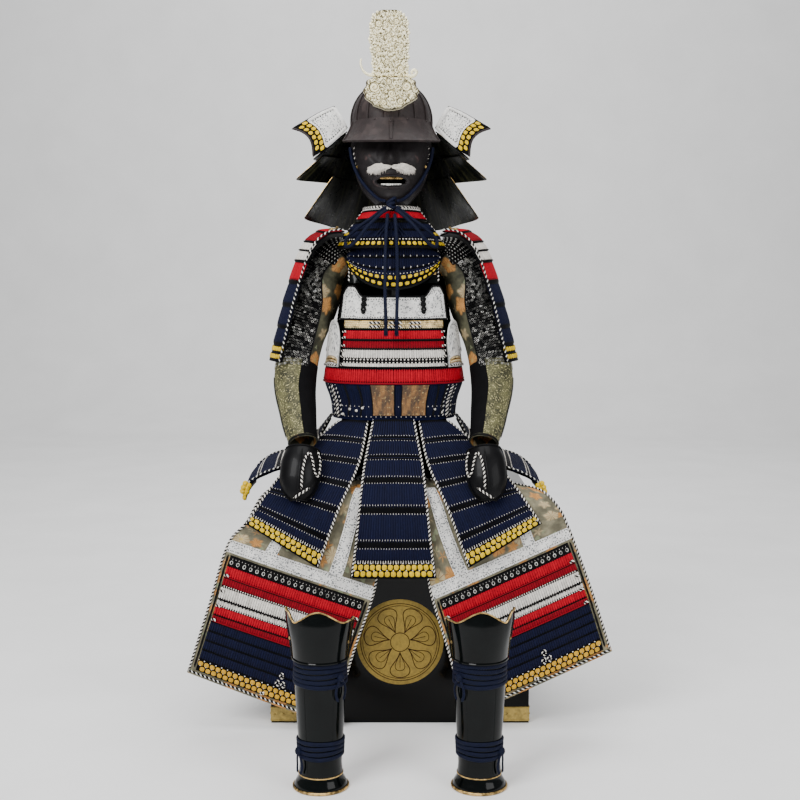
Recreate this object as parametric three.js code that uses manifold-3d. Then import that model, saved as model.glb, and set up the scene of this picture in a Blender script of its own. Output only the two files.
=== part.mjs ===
// Samurai armour set on its armour box and display stand.
// Millimetres, +Z up, -Y towards the viewer, +X to the viewer's right.
// Every plate and every piece of cloth is a wall: a form at(u, v) with u from left to right and
// v from top to bottom as seen from outside, moved out and in along its own normal.
import * as THREE from 'three';
import { mergeVertices } from 'three/addons/utils/BufferGeometryUtils.js';
import Module from 'manifold-3d';

const wasm = await Module();
wasm.setup();

// ---------------------------------------------------------------- driving sizes

const SEAM = 0.3; // gap left between pieces that touch
const CLOTH = 2; // thickness of the brocade cloth
const LEATHER = 1.6; // thickness of the stencilled leather
const BOARD = 3; // thickness of a laced board
const STEP = 3; // how far each laced board's foot stands out over the next one
const IRON = 2.5; // thickness of the helmet, mask and greave plates

const BOX = { width: 600, depth: 400, height: 540, lid: 70, wall: 14 };
const TORSO_SHIFT = -15; // the upper body sits a little to the left of the box
const HEAD_SHIFT = -20;
const TORSO = { y: 170, power: 2.3 };
const HEAD = { y: 150 };
const GREAVE = { x: 161, y: -358 };
const CORD = 4; // radius of the chin cord

// The cuirass from neck to waist, a row for each horizontal section.
const TORSO_SECTIONS = [
  { z: 1120, halfWidth: 112, halfDepth: 92 },
  { z: 1014, halfWidth: 140, halfDepth: 112 },
  { z: 930, halfWidth: 153, halfDepth: 121 },
  { z: 824, halfWidth: 164, halfDepth: 126 },
  { z: 786, halfWidth: 166, halfDepth: 126 },
  { z: 745, halfWidth: 149, halfDepth: 118 },
  { z: 700, halfWidth: 144, halfDepth: 114 },
];

// The laced boards of the breast, from the gilt strip down.
const BREAST_BOARDS = [
  { top: 935.9, bottom: 914 },
  { top: 914, bottom: 889 },
  { top: 889, bottom: 869.5 },
  { top: 869.5, bottom: 846 },
  { top: 846, bottom: 837 },
  { top: 837, bottom: 825.5 },
];

// The mask from eyes to throat.
const MASK_SECTIONS = [
  { z: 1348, halfWidth: 94, halfDepth: 86 },
  { z: 1320, halfWidth: 93, halfDepth: 95 },
  { z: 1290, halfWidth: 88, halfDepth: 99 },
  { z: 1262, halfWidth: 80, halfDepth: 101 },
  { z: 1235, halfWidth: 66, halfDepth: 99 },
  { z: 1212, halfWidth: 46, halfDepth: 92 },
  { z: 1202, halfWidth: 36, halfDepth: 78 },
];

// ---------------------------------------------------------------- number helpers

const lerp = THREE.MathUtils.lerp;
const smooth = THREE.MathUtils.smoothstep;
const radians = THREE.MathUtils.degToRad;
const vec = (x, y, z) => new THREE.Vector3(x, y, z);
const count = (n) => Array.from({ length: n }, (_, i) => i);
const signedPower = (value, power) => Math.sign(value) * Math.abs(value) ** power;

// A column of a table of sections, read between its rows by height.
function atHeight(sections, z, column) {
  const last = sections.length - 1;
  const i = Math.min(Math.max(sections.findIndex((row) => row.z <= z), 1), last);
  const [above, below] = [sections[i - 1], sections[i]];
  const share = THREE.MathUtils.clamp((above.z - z) / (above.z - below.z), 0, 1);
  return lerp(above[column], below[column], share);
}

// ---------------------------------------------------------------- wall helpers

const evenStops = (rows) => count(rows + 1).map((i) => ({ v: i / rows, lift: 0 }));

// Stops of a wall of laced boards: each board's foot stands out, and the next starts behind it.
function boardStops(edges, step = STEP) {
  const [top, bottom] = [edges[0], edges.at(-1)];
  const stops = [];
  for (let i = 0; i + 1 < edges.length; i += 1) {
    const [from, to] = [(edges[i] - top) / (bottom - top), (edges[i + 1] - top) / (bottom - top)];
    stops.push({ v: i ? from + (to - from) * 0.14 : from, lift: 0 });
    stops.push({ v: to, lift: step });
  }
  return stops;
}

const evenBoards = (boards, step) => boardStops(count(boards + 1), step);

// The direction out of a form, from its slopes across and down; a form ends at 0 and 1.
function outward(at, u, v) {
  const reach = 1e-3;
  const [left, right] = [Math.max(u - reach, 0), Math.min(u + reach, 1)];
  const [above, below] = [Math.max(v - reach, 0), Math.min(v + reach, 1)];
  const across = at(right, v).sub(at(left, v));
  const down = at(u, below).sub(at(u, above));
  return down.cross(across).normalize();
}

const movedOut = (at, u, v, distance) => at(u, v).addScaledVector(outward(at, u, v), distance);

// A closed wall on the form at(u, v), its inner face `thickness` behind the form.
function wall(at, { columns = 6, stops = evenStops(4), thickness = BOARD, lift = 0, wrapped = false }) {
  const across = wrapped ? columns : columns + 1;
  const rows = stops.length;
  const skins = [
    stops.map((stop) => count(across).map((i) => movedOut(at, i / columns, stop.v, lift + stop.lift))),
    stops.map((stop) => count(across).map((i) => movedOut(at, i / columns, stop.v, lift - thickness))),
  ];
  const points = skins.flat(2);
  const index = (skin, row, column) => (skin * rows + row) * across + (column % across);
  const faces = [];
  const quad = (a, b, c, d) => faces.push(a, b, c, a, c, d);
  for (let i = 0; i < columns; i += 1) {
    for (let j = 0; j + 1 < rows; j += 1) {
      quad(index(0, j, i), index(0, j + 1, i), index(0, j + 1, i + 1), index(0, j, i + 1));
      quad(index(1, j, i), index(1, j, i + 1), index(1, j + 1, i + 1), index(1, j + 1, i));
    }
    quad(index(0, 0, i), index(0, 0, i + 1), index(1, 0, i + 1), index(1, 0, i));
    const foot = rows - 1;
    quad(index(0, foot, i), index(1, foot, i), index(1, foot, i + 1), index(0, foot, i + 1));
  }
  if (!wrapped) {
    for (let j = 0; j + 1 < rows; j += 1) {
      quad(index(0, j, 0), index(1, j, 0), index(1, j + 1, 0), index(0, j + 1, 0));
      quad(index(0, j, columns), index(0, j + 1, columns), index(1, j + 1, columns), index(1, j, columns));
    }
  }
  const geometry = new THREE.BufferGeometry().setFromPoints(points);
  geometry.setIndex(faces);
  return geometry;
}

// Corners only, each of them stored once.
function bare(geometry) {
  const corners = new THREE.BufferGeometry();
  corners.setAttribute('position', geometry.getAttribute('position').clone());
  if (geometry.index) corners.setIndex(geometry.index.clone());
  return mergeVertices(corners, 1e-3);
}

// The same piece for the other side of the body.
function mirrored(geometry) {
  const other = bare(geometry).scale(-1, 1, 1);
  const index = other.index.array;
  for (let i = 0; i < index.length; i += 3) {
    [index[i + 1], index[i + 2]] = [index[i + 2], index[i + 1]];
  }
  return other;
}

// A form between two edges, each a smooth curve through one point per section.
function between(sections, bulge = 0) {
  const edge = (name) => new THREE.CatmullRomCurve3(sections.map((row) => vec(...row[name])));
  const [left, right] = [edge('left'), edge('right')];
  const flat = (u, v) => left.getPoint(v).lerp(right.getPoint(v), u);
  return (u, v) => movedOut(flat, u, v, bulge * (1 - (2 * u - 1) ** 2));
}

// A form round a bent centre line; degrees 0 faces the viewer, 90 the +X side.
function around(path, from, to) {
  const centre = new THREE.CatmullRomCurve3(path.map((row) => vec(row.x, row.y, row.z)));
  const radius = new THREE.CatmullRomCurve3(path.map((row) => vec(row.halfWidth, row.halfDepth, 0)));
  return (u, v) => {
    const along = centre.getTangent(v);
    const depth = vec(0, 1, 0).addScaledVector(along, -along.y).normalize();
    const side = along.clone().cross(depth);
    const size = radius.getPoint(v);
    const angle = radians(lerp(from, to, u));
    return centre.getPoint(v)
      .addScaledVector(side, size.x * Math.sin(angle))
      .addScaledVector(depth, -size.y * Math.cos(angle));
  };
}

function tube(points, radius, steps, sides = 8) {
  const section = new THREE.Shape(
    count(sides).map((i) => {
      const angle = (2 * Math.PI * i) / sides;
      return new THREE.Vector2(radius * Math.cos(angle), radius * Math.sin(angle));
    }),
  );
  const extrudePath = new THREE.CatmullRomCurve3(points);
  return new THREE.ExtrudeGeometry(section, { steps, extrudePath, bevelEnabled: false });
}

// A flat outline in X and Z, standing between two depths, with a bevel on its front and back.
function standing(shape, front, back, bevel, curveSegments = 6) {
  const geometry = new THREE.ExtrudeGeometry(shape, {
    depth: back - front - 2 * bevel,
    bevelEnabled: bevel > 0,
    bevelThickness: bevel,
    bevelSize: bevel,
    bevelOffset: -bevel,
    bevelSegments: 1,
    curveSegments,
  });
  return geometry.rotateX(Math.PI / 2).translate(0, back - bevel, 0);
}

// ---------------------------------------------------------------- solids that are joined or cut

function toSolid(geometry) {
  const { attributes, index } = bare(geometry);
  return new wasm.Manifold(new wasm.Mesh({
    numProp: 3,
    vertProperties: attributes.position.array,
    triVerts: new Uint32Array(index.array),
  }));
}

function toGeometry(solid) {
  const mesh = solid.getMesh();
  const geometry = new THREE.BufferGeometry();
  geometry.setAttribute('position', new THREE.BufferAttribute(mesh.vertProperties, 3));
  geometry.setIndex(new THREE.BufferAttribute(mesh.triVerts, 1));
  return geometry;
}

// ---------------------------------------------------------------- materials and meshes

const paint = (color, roughness, metalness = 0) => ({ color, roughness, metalness });
const PAINT = {
  lacquer: paint(0x0c1012, 0.18),
  iron: paint(0x3a3032, 0.55, 0.6),
  gilt: paint(0xf2e8c8, 0.35, 0.8),
  leather: paint(0xdcd8d0, 0.7),
  navy: paint(0x161c3c, 0.8),
  red: paint(0xc01024, 0.75),
  brocade: paint(0x7c8060, 0.8),
  hair: paint(0xf0ece4, 0.9),
  silver: paint(0xd8d4c8, 0.35, 0.8),
  wood: paint(0x2a211c, 0.6),
};

const armour = new THREE.Group();
const torso = new THREE.Group();
torso.position.x = TORSO_SHIFT;
const head = new THREE.Group();
head.position.x = HEAD_SHIFT;
armour.add(torso, head);

function add(group, name, geometry, finish) {
  const mesh = new THREE.Mesh(geometry, new THREE.MeshStandardMaterial(finish));
  mesh.name = name;
  group.add(mesh);
}

function addPair(group, name, rightGeometry, finish) {
  add(group, `${name}_right`, rightGeometry, finish);
  add(group, `${name}_left`, mirrored(rightGeometry), finish);
}

// ---------------------------------------------------------------- armour box and stand

function block(width, depth, low, high) {
  return new THREE.BoxGeometry(width, depth, high - low)
    .translate(0, BOX.depth / 2, (low + high) / 2);
}

const boxInside = [BOX.width - 2 * BOX.wall, BOX.depth - 2 * BOX.wall];
const lidFoot = BOX.height - BOX.lid;

function boxBody() {
  const outside = toSolid(block(BOX.width, BOX.depth, 0, lidFoot));
  const room = toSolid(block(...boxInside, BOX.wall, lidFoot + BOX.wall));
  return toGeometry(outside.subtract(room));
}

function boxLid() {
  const outside = toSolid(block(BOX.width, BOX.depth, lidFoot + SEAM, BOX.height));
  const room = toSolid(block(...boxInside, lidFoot - BOX.wall, BOX.height - BOX.wall));
  return toGeometry(outside.subtract(room));
}

// One turned post with a round foot, a shoulder bar and a plain smooth head.
const STAND = {
  foot: 85,
  footHeight: 14,
  post: 20,
  barBottom: 1050,
  barTop: 1084,
  barReach: 80,
  barDepth: 36,
  chin: 1216,
  headTop: 1440,
  headRadius: 70,
};

function armourStand() {
  const headHalf = (STAND.headTop - STAND.chin) / 2;
  const headMiddle = STAND.chin + headHalf;
  const headSteps = 10;
  const headStart = radians(16);
  const floor = BOX.height + SEAM;
  const profile = [
    [0, floor],
    [STAND.foot, floor],
    [STAND.foot, floor + STAND.footHeight],
    [STAND.post, floor + 2 * STAND.footHeight],
    ...count(headSteps).map((i) => {
      const angle = lerp(headStart, Math.PI, i / headSteps);
      return [STAND.headRadius * Math.sin(angle), headMiddle - headHalf * Math.cos(angle)];
    }),
    [0, STAND.headTop],
  ].map(([x, y]) => new THREE.Vector2(x, y));
  const post = new THREE.LatheGeometry(profile, 12)
    .rotateX(Math.PI / 2)
    .translate(0, HEAD.y + 6, 0);
  const bar = new THREE.BoxGeometry(2 * STAND.barReach, STAND.barDepth, STAND.barTop - STAND.barBottom)
    .translate(0, HEAD.y + 6, (STAND.barTop + STAND.barBottom) / 2);
  return toGeometry(toSolid(post).add(toSolid(bar)));
}

add(armour, 'box_body', boxBody(), PAINT.lacquer);
add(armour, 'box_lid', boxLid(), PAINT.lacquer);
add(head, 'armour_stand', armourStand(), PAINT.wood);

// ---------------------------------------------------------------- helmet

const BOWL = { foot: 1376, spring: 1396, rise: 97, halfWidth: 95.5, depthRatio: 1.23, crownHole: 11 };

// The bowl is a turned dome, deeper than it is wide, with the round hole at its crown.
function helmetBowl() {
  const steps = 5;
  const dome = (shrink) => count(steps + 1).map((i) => {
    const hole = Math.acos(BOWL.crownHole / (BOWL.halfWidth - shrink));
    const angle = (hole * i) / steps;
    const reach = (BOWL.halfWidth - shrink) * Math.cos(angle);
    return new THREE.Vector2(reach, BOWL.spring + (BOWL.rise - shrink) * Math.sin(angle));
  });
  const outside = [new THREE.Vector2(BOWL.halfWidth, BOWL.foot), ...dome(0)];
  const inside = [new THREE.Vector2(BOWL.halfWidth - IRON, BOWL.foot), ...dome(IRON)];
  const profile = [...outside, ...inside.reverse(), outside[0]];
  return new THREE.LatheGeometry(profile, 24)
    .rotateX(Math.PI / 2)
    .scale(1, BOWL.depthRatio, 1)
    .translate(0, HEAD.y, 0);
}

// A form that is an ellipse round the head at each height.
function roundHead(degrees, z, halfWidth, halfDepth) {
  const angle = radians(degrees);
  return vec(halfWidth * Math.sin(angle), HEAD.y - halfDepth * Math.cos(angle), z);
}

const VISOR = { spread: 66, topZ: 1393, footZ: 1336, sideRise: 16, top: [99, 121.5], foot: [123, 155] };

function visorForm(u, v) {
  const degrees = lerp(-VISOR.spread, VISOR.spread, u);
  const flare = 0.45 * v + 0.55 * v ** 2;
  const foot = VISOR.footZ + VISOR.sideRise * (1 - Math.cos(radians(degrees)));
  return roundHead(
    degrees,
    lerp(VISOR.topZ, foot, v),
    lerp(VISOR.top[0], VISOR.foot[0], flare),
    lerp(VISOR.top[1], VISOR.foot[1], flare),
  );
}

// The narrow tapered plate that holds the crest, on the middle of the visor.
function crestProng() {
  const halfAngle = (v) => (v < 0.15 ? 3.4 : lerp(2.6, 1.4, v));
  const onVisor = (u, v) => {
    const degrees = lerp(-halfAngle(v), halfAngle(v), u);
    return visorForm(0.5 + degrees / (2 * VISOR.spread), lerp(0.1, 0.92, v));
  };
  return wall(onVisor, { columns: 2, stops: evenStops(4), thickness: 1.4, lift: 1.4 + SEAM });
}

add(head, 'helmet_bowl', helmetBowl(), PAINT.iron);
const visor = wall(visorForm, { columns: 18, stops: evenStops(4), thickness: IRON });
add(head, 'helmet_visor', visor, PAINT.iron);
add(head, 'crest_prong', crestProng(), PAINT.iron);

// ---------------------------------------------------------------- crest

const CREST = {
  middle: -5,
  halfWidth: 45,
  bladeFoot: 1478.3,
  shoulder: 1600,
  top: 1628,
  bladeFront: 20,
  bladeBack: 29,
  baseFront: 6,
  baseBack: 29,
};

function crestBlade() {
  const [left, right] = [CREST.middle - CREST.halfWidth, CREST.middle + CREST.halfWidth];
  const shape = new THREE.Shape();
  shape.moveTo(left + 6, CREST.bladeFoot);
  shape.lineTo(right - 2, CREST.bladeFoot);
  shape.quadraticCurveTo(right + 3, 1540, right - 3, CREST.shoulder);
  shape.bezierCurveTo(right - 6, CREST.top, right - 20, CREST.top, CREST.middle, CREST.top);
  shape.bezierCurveTo(left + 16, CREST.top, left + 7, CREST.top - 4, left + 5, CREST.shoulder);
  shape.quadraticCurveTo(left - 4, 1550, left + 6, CREST.bladeFoot);
  return standing(shape, CREST.bladeFront, CREST.bladeBack, 1.5);
}

// The cloud-shaped foot of the crest: lobes round a rounded triangle.
function crestBase() {
  const lobes = [
    { x: -40, z: 1478, bend: [-40, 1478] },
    { x: -55, z: 1460, bend: [-58, 1474] },
    { x: -54, z: 1434, bend: [-66, 1446] },
    { x: -34, z: 1419, bend: [-50, 1420] },
    { x: -6, z: 1410, bend: [-22, 1406] },
    { x: 22, z: 1413, bend: [8, 1404] },
    { x: 48, z: 1430, bend: [42, 1412] },
    { x: 54, z: 1456, bend: [66, 1444] },
    { x: 40, z: 1478, bend: [58, 1474] },
  ];
  const shape = new THREE.Shape();
  shape.moveTo(lobes[0].x, lobes[0].z);
  for (const lobe of lobes.slice(1)) shape.quadraticCurveTo(...lobe.bend, lobe.x, lobe.z);
  shape.closePath();
  return standing(shape, CREST.baseFront, CREST.baseBack, 4, 3);
}

add(head, 'crest_base', crestBase(), PAINT.gilt);
add(head, 'crest_blade', crestBlade(), PAINT.gilt);

// ---------------------------------------------------------------- neck guard and turnbacks

// The lames hang in a bell round the back and sides of the head; their front ends stand out.
const BELL = { topZ: 1385, halfWidth: 104, halfDepth: 125, widen: 0.36, deepen: 0.4 };
const NECK_LAMES = [
  { top: 1372, foot: 1308, opening: 72, flareTop: 0, flareFoot: 56, lift: 0, sag: 0 },
  { top: 1318, foot: 1262, opening: 74, flareTop: 46, flareFoot: 90, lift: -11, sag: 6 },
  { top: 1272, foot: 1174, opening: 78, flareTop: 8, flareFoot: 42, lift: -15, sag: 24 },
];

function neckForm(lame) {
  return (u, v) => {
    const side = 2 * u - 1;
    const degrees = 180 + side * (180 - lame.opening);
    const z = lerp(lame.top, lame.foot - lame.sag * (1 - side ** 2), v);
    const down = BELL.topZ - z;
    const point = roundHead(
      degrees,
      z,
      BELL.halfWidth + BELL.widen * down + lame.lift,
      BELL.halfDepth + BELL.deepen * down + lame.lift,
    );
    const front = smooth(Math.abs(side), 0.62, 1) ** 1.4;
    point.x -= Math.sign(side) * front * lerp(lame.flareTop, lame.flareFoot, v);
    return point;
  };
}

NECK_LAMES.forEach((lame, i) => {
  const geometry = wall(neckForm(lame), { columns: 20, stops: evenStops(2), thickness: IRON });
  add(head, `neck_lame_${i + 1}`, geometry, PAINT.lacquer);
});

// The right turnback: fold line on the left, free edge on the right, laced rim at its foot.
const turnbackForm = between(
  [
    { left: [101, 105, 1379], right: [132, 118, 1430] },
    { left: [125, 101, 1353], right: [166, 112, 1415] },
    { left: [151, 99, 1331], right: [197, 106, 1397] },
    { left: [182, 97, 1311], right: [231, 104, 1377] },
  ],
  7,
);
// Its foot is cut in a shallow hollow curve.
const hollowTurnback = (u, v) => turnbackForm(u, v * (1 - 0.16 * Math.sin(Math.PI * u)));
addPair(head, 'turnback', wall(hollowTurnback, { columns: 4, stops: evenStops(4) }), PAINT.leather);

// ---------------------------------------------------------------- mask

const MASK = { spread: 80, top: MASK_SECTIONS[0].z, foot: MASK_SECTIONS.at(-1).z };

function bump(x, z, at) {
  const away = ((x - at.x) / at.wide) ** 2 + ((z - at.z) / at.tall) ** 2;
  return at.height * Math.exp(-away);
}

function maskPoint(degrees, z) {
  return roundHead(
    degrees,
    z,
    atHeight(MASK_SECTIONS, z, 'halfWidth'),
    atHeight(MASK_SECTIONS, z, 'halfDepth'),
  );
}

// Nose, cheeks, lips and chin stand out of the plain shell.
const FEATURES = [
  { x: 0, z: 1303, wide: 13, tall: 17, height: 22 },
  { x: 0, z: 1330, wide: 10, tall: 26, height: 10 },
  { x: -52, z: 1308, wide: 24, tall: 18, height: 6 },
  { x: 52, z: 1308, wide: 24, tall: 18, height: 6 },
  { x: 0, z: 1272, wide: 44, tall: 8, height: 5 },
  { x: 0, z: 1234, wide: 40, tall: 8, height: 5 },
  { x: 0, z: 1217, wide: 26, tall: 10, height: 7 },
];

function maskForm(u, v) {
  const point = maskPoint(lerp(-MASK.spread, MASK.spread, u), lerp(MASK.top, MASK.foot, v));
  for (const feature of FEATURES) point.y -= bump(point.x, point.z, feature);
  return point;
}

// The u and v of the mask's form at an angle and a height.
function onMask(degrees, z) {
  return [0.5 + degrees / (2 * MASK.spread), (MASK.top - z) / (MASK.top - MASK.foot)];
}

const MOUTH = { halfWidth: 35, top: 1265, foot: 1240 };

function faceMask() {
  const shell = wall(maskForm, { columns: 16, stops: evenStops(11), thickness: IRON });
  const opening = new THREE.Shape();
  const middle = (MOUTH.top + MOUTH.foot) / 2;
  opening.absellipse(0, middle, MOUTH.halfWidth, (MOUTH.top - MOUTH.foot) / 2, 0, 2 * Math.PI);
  const plug = standing(opening, -20, 120, 0, 5);
  return toGeometry(toSolid(shell).subtract(toSolid(plug)));
}

function teeth(top, foot) {
  const form = (u, v) => maskPoint(lerp(-22, 22, u), lerp(top, foot, v));
  return wall(form, { columns: 6, stops: evenStops(1), thickness: 2.4, lift: -5 });
}

// Two combed tufts of hair under the nose, fatter towards their middles.
function moustache() {
  const tufts = [
    { degrees: -43, z: 1274, tall: 6, deep: 4 },
    { degrees: -33, z: 1279, tall: 13, deep: 7 },
    { degrees: -16, z: 1284, tall: 12, deep: 7 },
    { degrees: 0, z: 1281, tall: 6, deep: 5 },
    { degrees: 16, z: 1284, tall: 12, deep: 7 },
    { degrees: 33, z: 1279, tall: 13, deep: 7 },
    { degrees: 43, z: 1274, tall: 6, deep: 4 },
  ];
  const form = (u, v) => {
    const share = u * (tufts.length - 1);
    const i = Math.min(Math.floor(share), tufts.length - 2);
    const read = (column) => lerp(tufts[i][column], tufts[i + 1][column], share - i);
    const z = read('z') + read('tall') * (0.5 - v);
    const point = maskForm(...onMask(read('degrees'), z));
    point.y -= 2.8 + read('deep');
    return point;
  };
  return wall(form, { columns: 12, stops: evenStops(2), thickness: 4 });
}

add(head, 'face_mask', faceMask(), PAINT.iron);
add(head, 'teeth_upper', teeth(1264, 1257), PAINT.gilt);
add(head, 'teeth_lower', teeth(1247, 1240), PAINT.silver);
add(head, 'moustache', moustache(), PAINT.hair);

// ---------------------------------------------------------------- throat guard, bib and chin cord

const THROAT_SECTIONS = [
  { z: 1214, halfWidth: 50, halfDepth: 74 },
  { z: 1166, halfWidth: 84, halfDepth: 100 },
  { z: 1128, halfWidth: 114, halfDepth: 120 },
  { z: 1100, halfWidth: 132, halfDepth: 128 },
];

function throatForm(top, foot, spread) {
  return (u, v) => {
    const z = lerp(top, foot, v);
    const halfWidth = atHeight(THROAT_SECTIONS, z, 'halfWidth');
    const halfDepth = atHeight(THROAT_SECTIONS, z, 'halfDepth');
    return roundHead(lerp(-spread, spread, u), z, halfWidth, halfDepth);
  };
}

const upperBoards = boardStops([0, 13, 34], 2.5);
const lowerBoards = boardStops([0, 18, 38, 60], 2.5);
const throatUpper = wall(throatForm(1200, 1166, 80), { columns: 12, stops: upperBoards });
const throatLower = wall(throatForm(1160, 1100, 78), { columns: 14, stops: lowerBoards });
add(head, 'throat_lame_upper', throatUpper, PAINT.red);
add(head, 'throat_lame_lower', throatLower, PAINT.navy);

// The crescent bib under the throat guard.
function bibForm(u, v) {
  const side = 2 * u - 1;
  const angle = radians(60 * side);
  const z = lerp(1112 - 22 * side ** 2, 1005 + 62 * side ** 2, v);
  return vec(124 * Math.sin(angle), 162 - lerp(116, 122, v) * Math.cos(angle), z);
}
add(torso, 'bib', wall(bibForm, { columns: 10, stops: boardStops([0, 30, 56, 80, 100], 2.5) }), PAINT.navy);

// The cord runs along each jaw to a knot under the chin, with two bow loops and two tails.
const KNOT = { x: 0, y: 44, z: 1202, radius: 9 };
const JAW_ROUTE = [
  { degrees: 76, z: 1338 },
  { degrees: 70, z: 1306 },
  { degrees: 60, z: 1272 },
  { degrees: 47, z: 1240 },
  { degrees: 30, z: 1216 },
];

function jawCord() {
  const points = JAW_ROUTE.map(({ degrees, z }) => movedOut(maskForm, ...onMask(degrees, z), CORD + 2.5));
  points.push(vec(KNOT.radius + CORD, KNOT.y - 3, KNOT.z + 4));
  return tube(points, CORD, 14);
}

// The bow loop lies on the throat guard and comes back to the knot.
const LOOP_ROUTE = [
  { x: 10.5, y: 36, z: 1195 },
  { x: 40, y: 42, z: 1172 },
  { x: 74, y: 47, z: 1148 },
  { x: 104, y: 60, z: 1120 },
  { x: 103, y: 50, z: 1104 },
  { x: 84, y: 34, z: 1112 },
  { x: 52, y: 25, z: 1150 },
  { x: 20, y: 30, z: 1180 },
  { x: 9, y: 31, z: 1187 },
];
const TAIL_ROUTE = [
  { x: 8, y: 30, z: 1178 },
  { x: 11, y: 18, z: 1140 },
  { x: 13, y: 10, z: 1090 },
  { x: 14, y: 9, z: 1010 },
  { x: 12, y: 9, z: 925 },
];
const route = (rows) => rows.map((row) => vec(row.x, row.y, row.z));

const knot = new THREE.SphereGeometry(KNOT.radius, 12, 8).translate(KNOT.x, KNOT.y, KNOT.z);
addPair(head, 'chin_cord_jaw', jawCord(), PAINT.navy);
add(head, 'chin_cord_knot', knot, PAINT.navy);
addPair(head, 'chin_cord_loop', tube(route(LOOP_ROUTE), CORD, 20), PAINT.navy);
addPair(head, 'chin_cord_tail', tube(route(TAIL_ROUTE), CORD, 10), PAINT.navy);

// ---------------------------------------------------------------- cuirass

function onTorso(degrees, z, lift = 0) {
  const angle = radians(degrees);
  const power = 2 / TORSO.power;
  return vec(
    (atHeight(TORSO_SECTIONS, z, 'halfWidth') + lift) * signedPower(Math.sin(angle), power),
    TORSO.y - (atHeight(TORSO_SECTIONS, z, 'halfDepth') + lift) * signedPower(Math.cos(angle), power),
    z,
  );
}

// A piece of the cuirass between two angles, with its own upper edge.
const torsoForm = (from, to, topOf, foot, lift = 0) => (u, v) =>
  onTorso(lerp(from, to, u), lerp(topOf(u), foot, v), lift);
const level = (z) => () => z;

// The breast plate's neckline dips between two rounded ears.
function breastTop(u) {
  const side = Math.abs(2 * u - 1);
  return 990 + 25 * smooth(side, 0.48, 0.72) - 28 * Math.max(0, (side - 0.84) / 0.16) ** 2;
}

// The side flaps have a round top, like a tombstone, and slope away behind under the arm.
const FLAP = { from: 50, to: 114, peak: 0.22, round: 0.235, height: 934, foot: 850 };

function flapTop(u) {
  const front = Math.max(0, 1 - (Math.abs(u - FLAP.peak) / FLAP.round) ** 2.4);
  const behind = u > FLAP.peak ? 24 * (1 - smooth(u, FLAP.peak, 1)) : 0;
  return Math.max(FLAP.foot + behind, FLAP.foot + (FLAP.height - FLAP.foot) * Math.sqrt(front));
}

const breastEdges = [BREAST_BOARDS[0].top, ...BREAST_BOARDS.map((row) => row.bottom)];
const breastFoot = breastEdges.at(-1);
const backTop = (u) => 1086 - 26 * (2 * u - 1) ** 4;

const breastPlate = wall(torsoForm(-52, 52, breastTop, 936.4, 3), { columns: 16, stops: evenStops(3) });
const cuirassFront = wall(torsoForm(-45, 45, level(935.9), breastFoot, 1), {
  columns: 10,
  stops: boardStops(breastEdges, 2),
});
const cuirassBack = wall(torsoForm(118, 242, backTop, breastFoot), { columns: 8, stops: evenBoards(6, 2) });
const cuirassHoop = wall(torsoForm(-180, 180, level(824.8), 788), {
  columns: 22,
  stops: evenBoards(1),
  wrapped: true,
});
const sideFlap = wall(torsoForm(FLAP.from, FLAP.to, flapTop, breastFoot, 1), {
  columns: 12,
  stops: evenStops(2),
});
add(torso, 'breast_plate', breastPlate, PAINT.leather);
add(torso, 'cuirass_front', cuirassFront, PAINT.red);
add(torso, 'cuirass_back', cuirassBack, PAINT.navy);
add(torso, 'cuirass_hoop', cuirassHoop, PAINT.red);
addPair(torso, 'side_flap', sideFlap, PAINT.leather);

// The laced cloth between the cuirass and the skirt.
const waist = wall(torsoForm(-180, 180, level(787.4), 702, -1), {
  columns: 24,
  stops: evenStops(3),
  thickness: CLOTH,
  wrapped: true,
});
add(torso, 'waist_lacing', waist, PAINT.navy);

// The shoulder straps run from the back, over the shoulder, to the breast plate's ears.
const strapForm = between(
  [
    { left: [64, 250, 1092], right: [104, 246, 1086] },
    { left: [66, 205, 1119], right: [106, 203, 1113] },
    { left: [66, 150, 1121], right: [106, 150, 1115] },
    { left: [66, 108, 1080], right: [106, 112, 1076] },
    { left: [66, 78, 1020], right: [106, 90, 1020] },
  ],
  3,
);
addPair(torso, 'shoulder_strap', wall(strapForm, { columns: 3, stops: evenStops(8) }), PAINT.lacquer);

// ---------------------------------------------------------------- sleeves, hand guards, shoulder guards

const SLEEVE_PATH = [
  { x: 120, y: 165, z: 1090, halfWidth: 34, halfDepth: 44 },
  { x: 164, y: 164, z: 1046, halfWidth: 48, halfDepth: 53 },
  { x: 182, y: 160, z: 976, halfWidth: 51, halfDepth: 55 },
  { x: 218, y: 144, z: 885, halfWidth: 50, halfDepth: 53 },
  { x: 232, y: 108, z: 792, halfWidth: 49, halfDepth: 49 },
  { x: 221, y: 60, z: 716, halfWidth: 41, halfDepth: 41 },
  { x: 207, y: 12, z: 655, halfWidth: 32, halfDepth: 31 },
];
const HAND_PATH = [
  { x: 206, y: -3, z: 640, halfWidth: 38, halfDepth: 33 },
  { x: 209, y: -22, z: 612, halfWidth: 45, halfDepth: 36 },
  { x: 212, y: -40, z: 578, halfWidth: 44, halfDepth: 33 },
  { x: 213, y: -53, z: 548, halfWidth: 32, halfDepth: 24 },
  { x: 213, y: -58, z: 533, halfWidth: 16, halfDepth: 14 },
];

const sleeve = wall(around(SLEEVE_PATH, -180, 180), {
  columns: 12,
  stops: evenStops(10),
  thickness: CLOTH,
  wrapped: true,
});
const handGuard = wall(around(HAND_PATH, -105, 105), {
  columns: 8,
  stops: evenStops(5),
  thickness: IRON,
});
addPair(torso, 'sleeve', sleeve, PAINT.brocade);
addPair(torso, 'hand_guard', handGuard, PAINT.lacquer);

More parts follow.
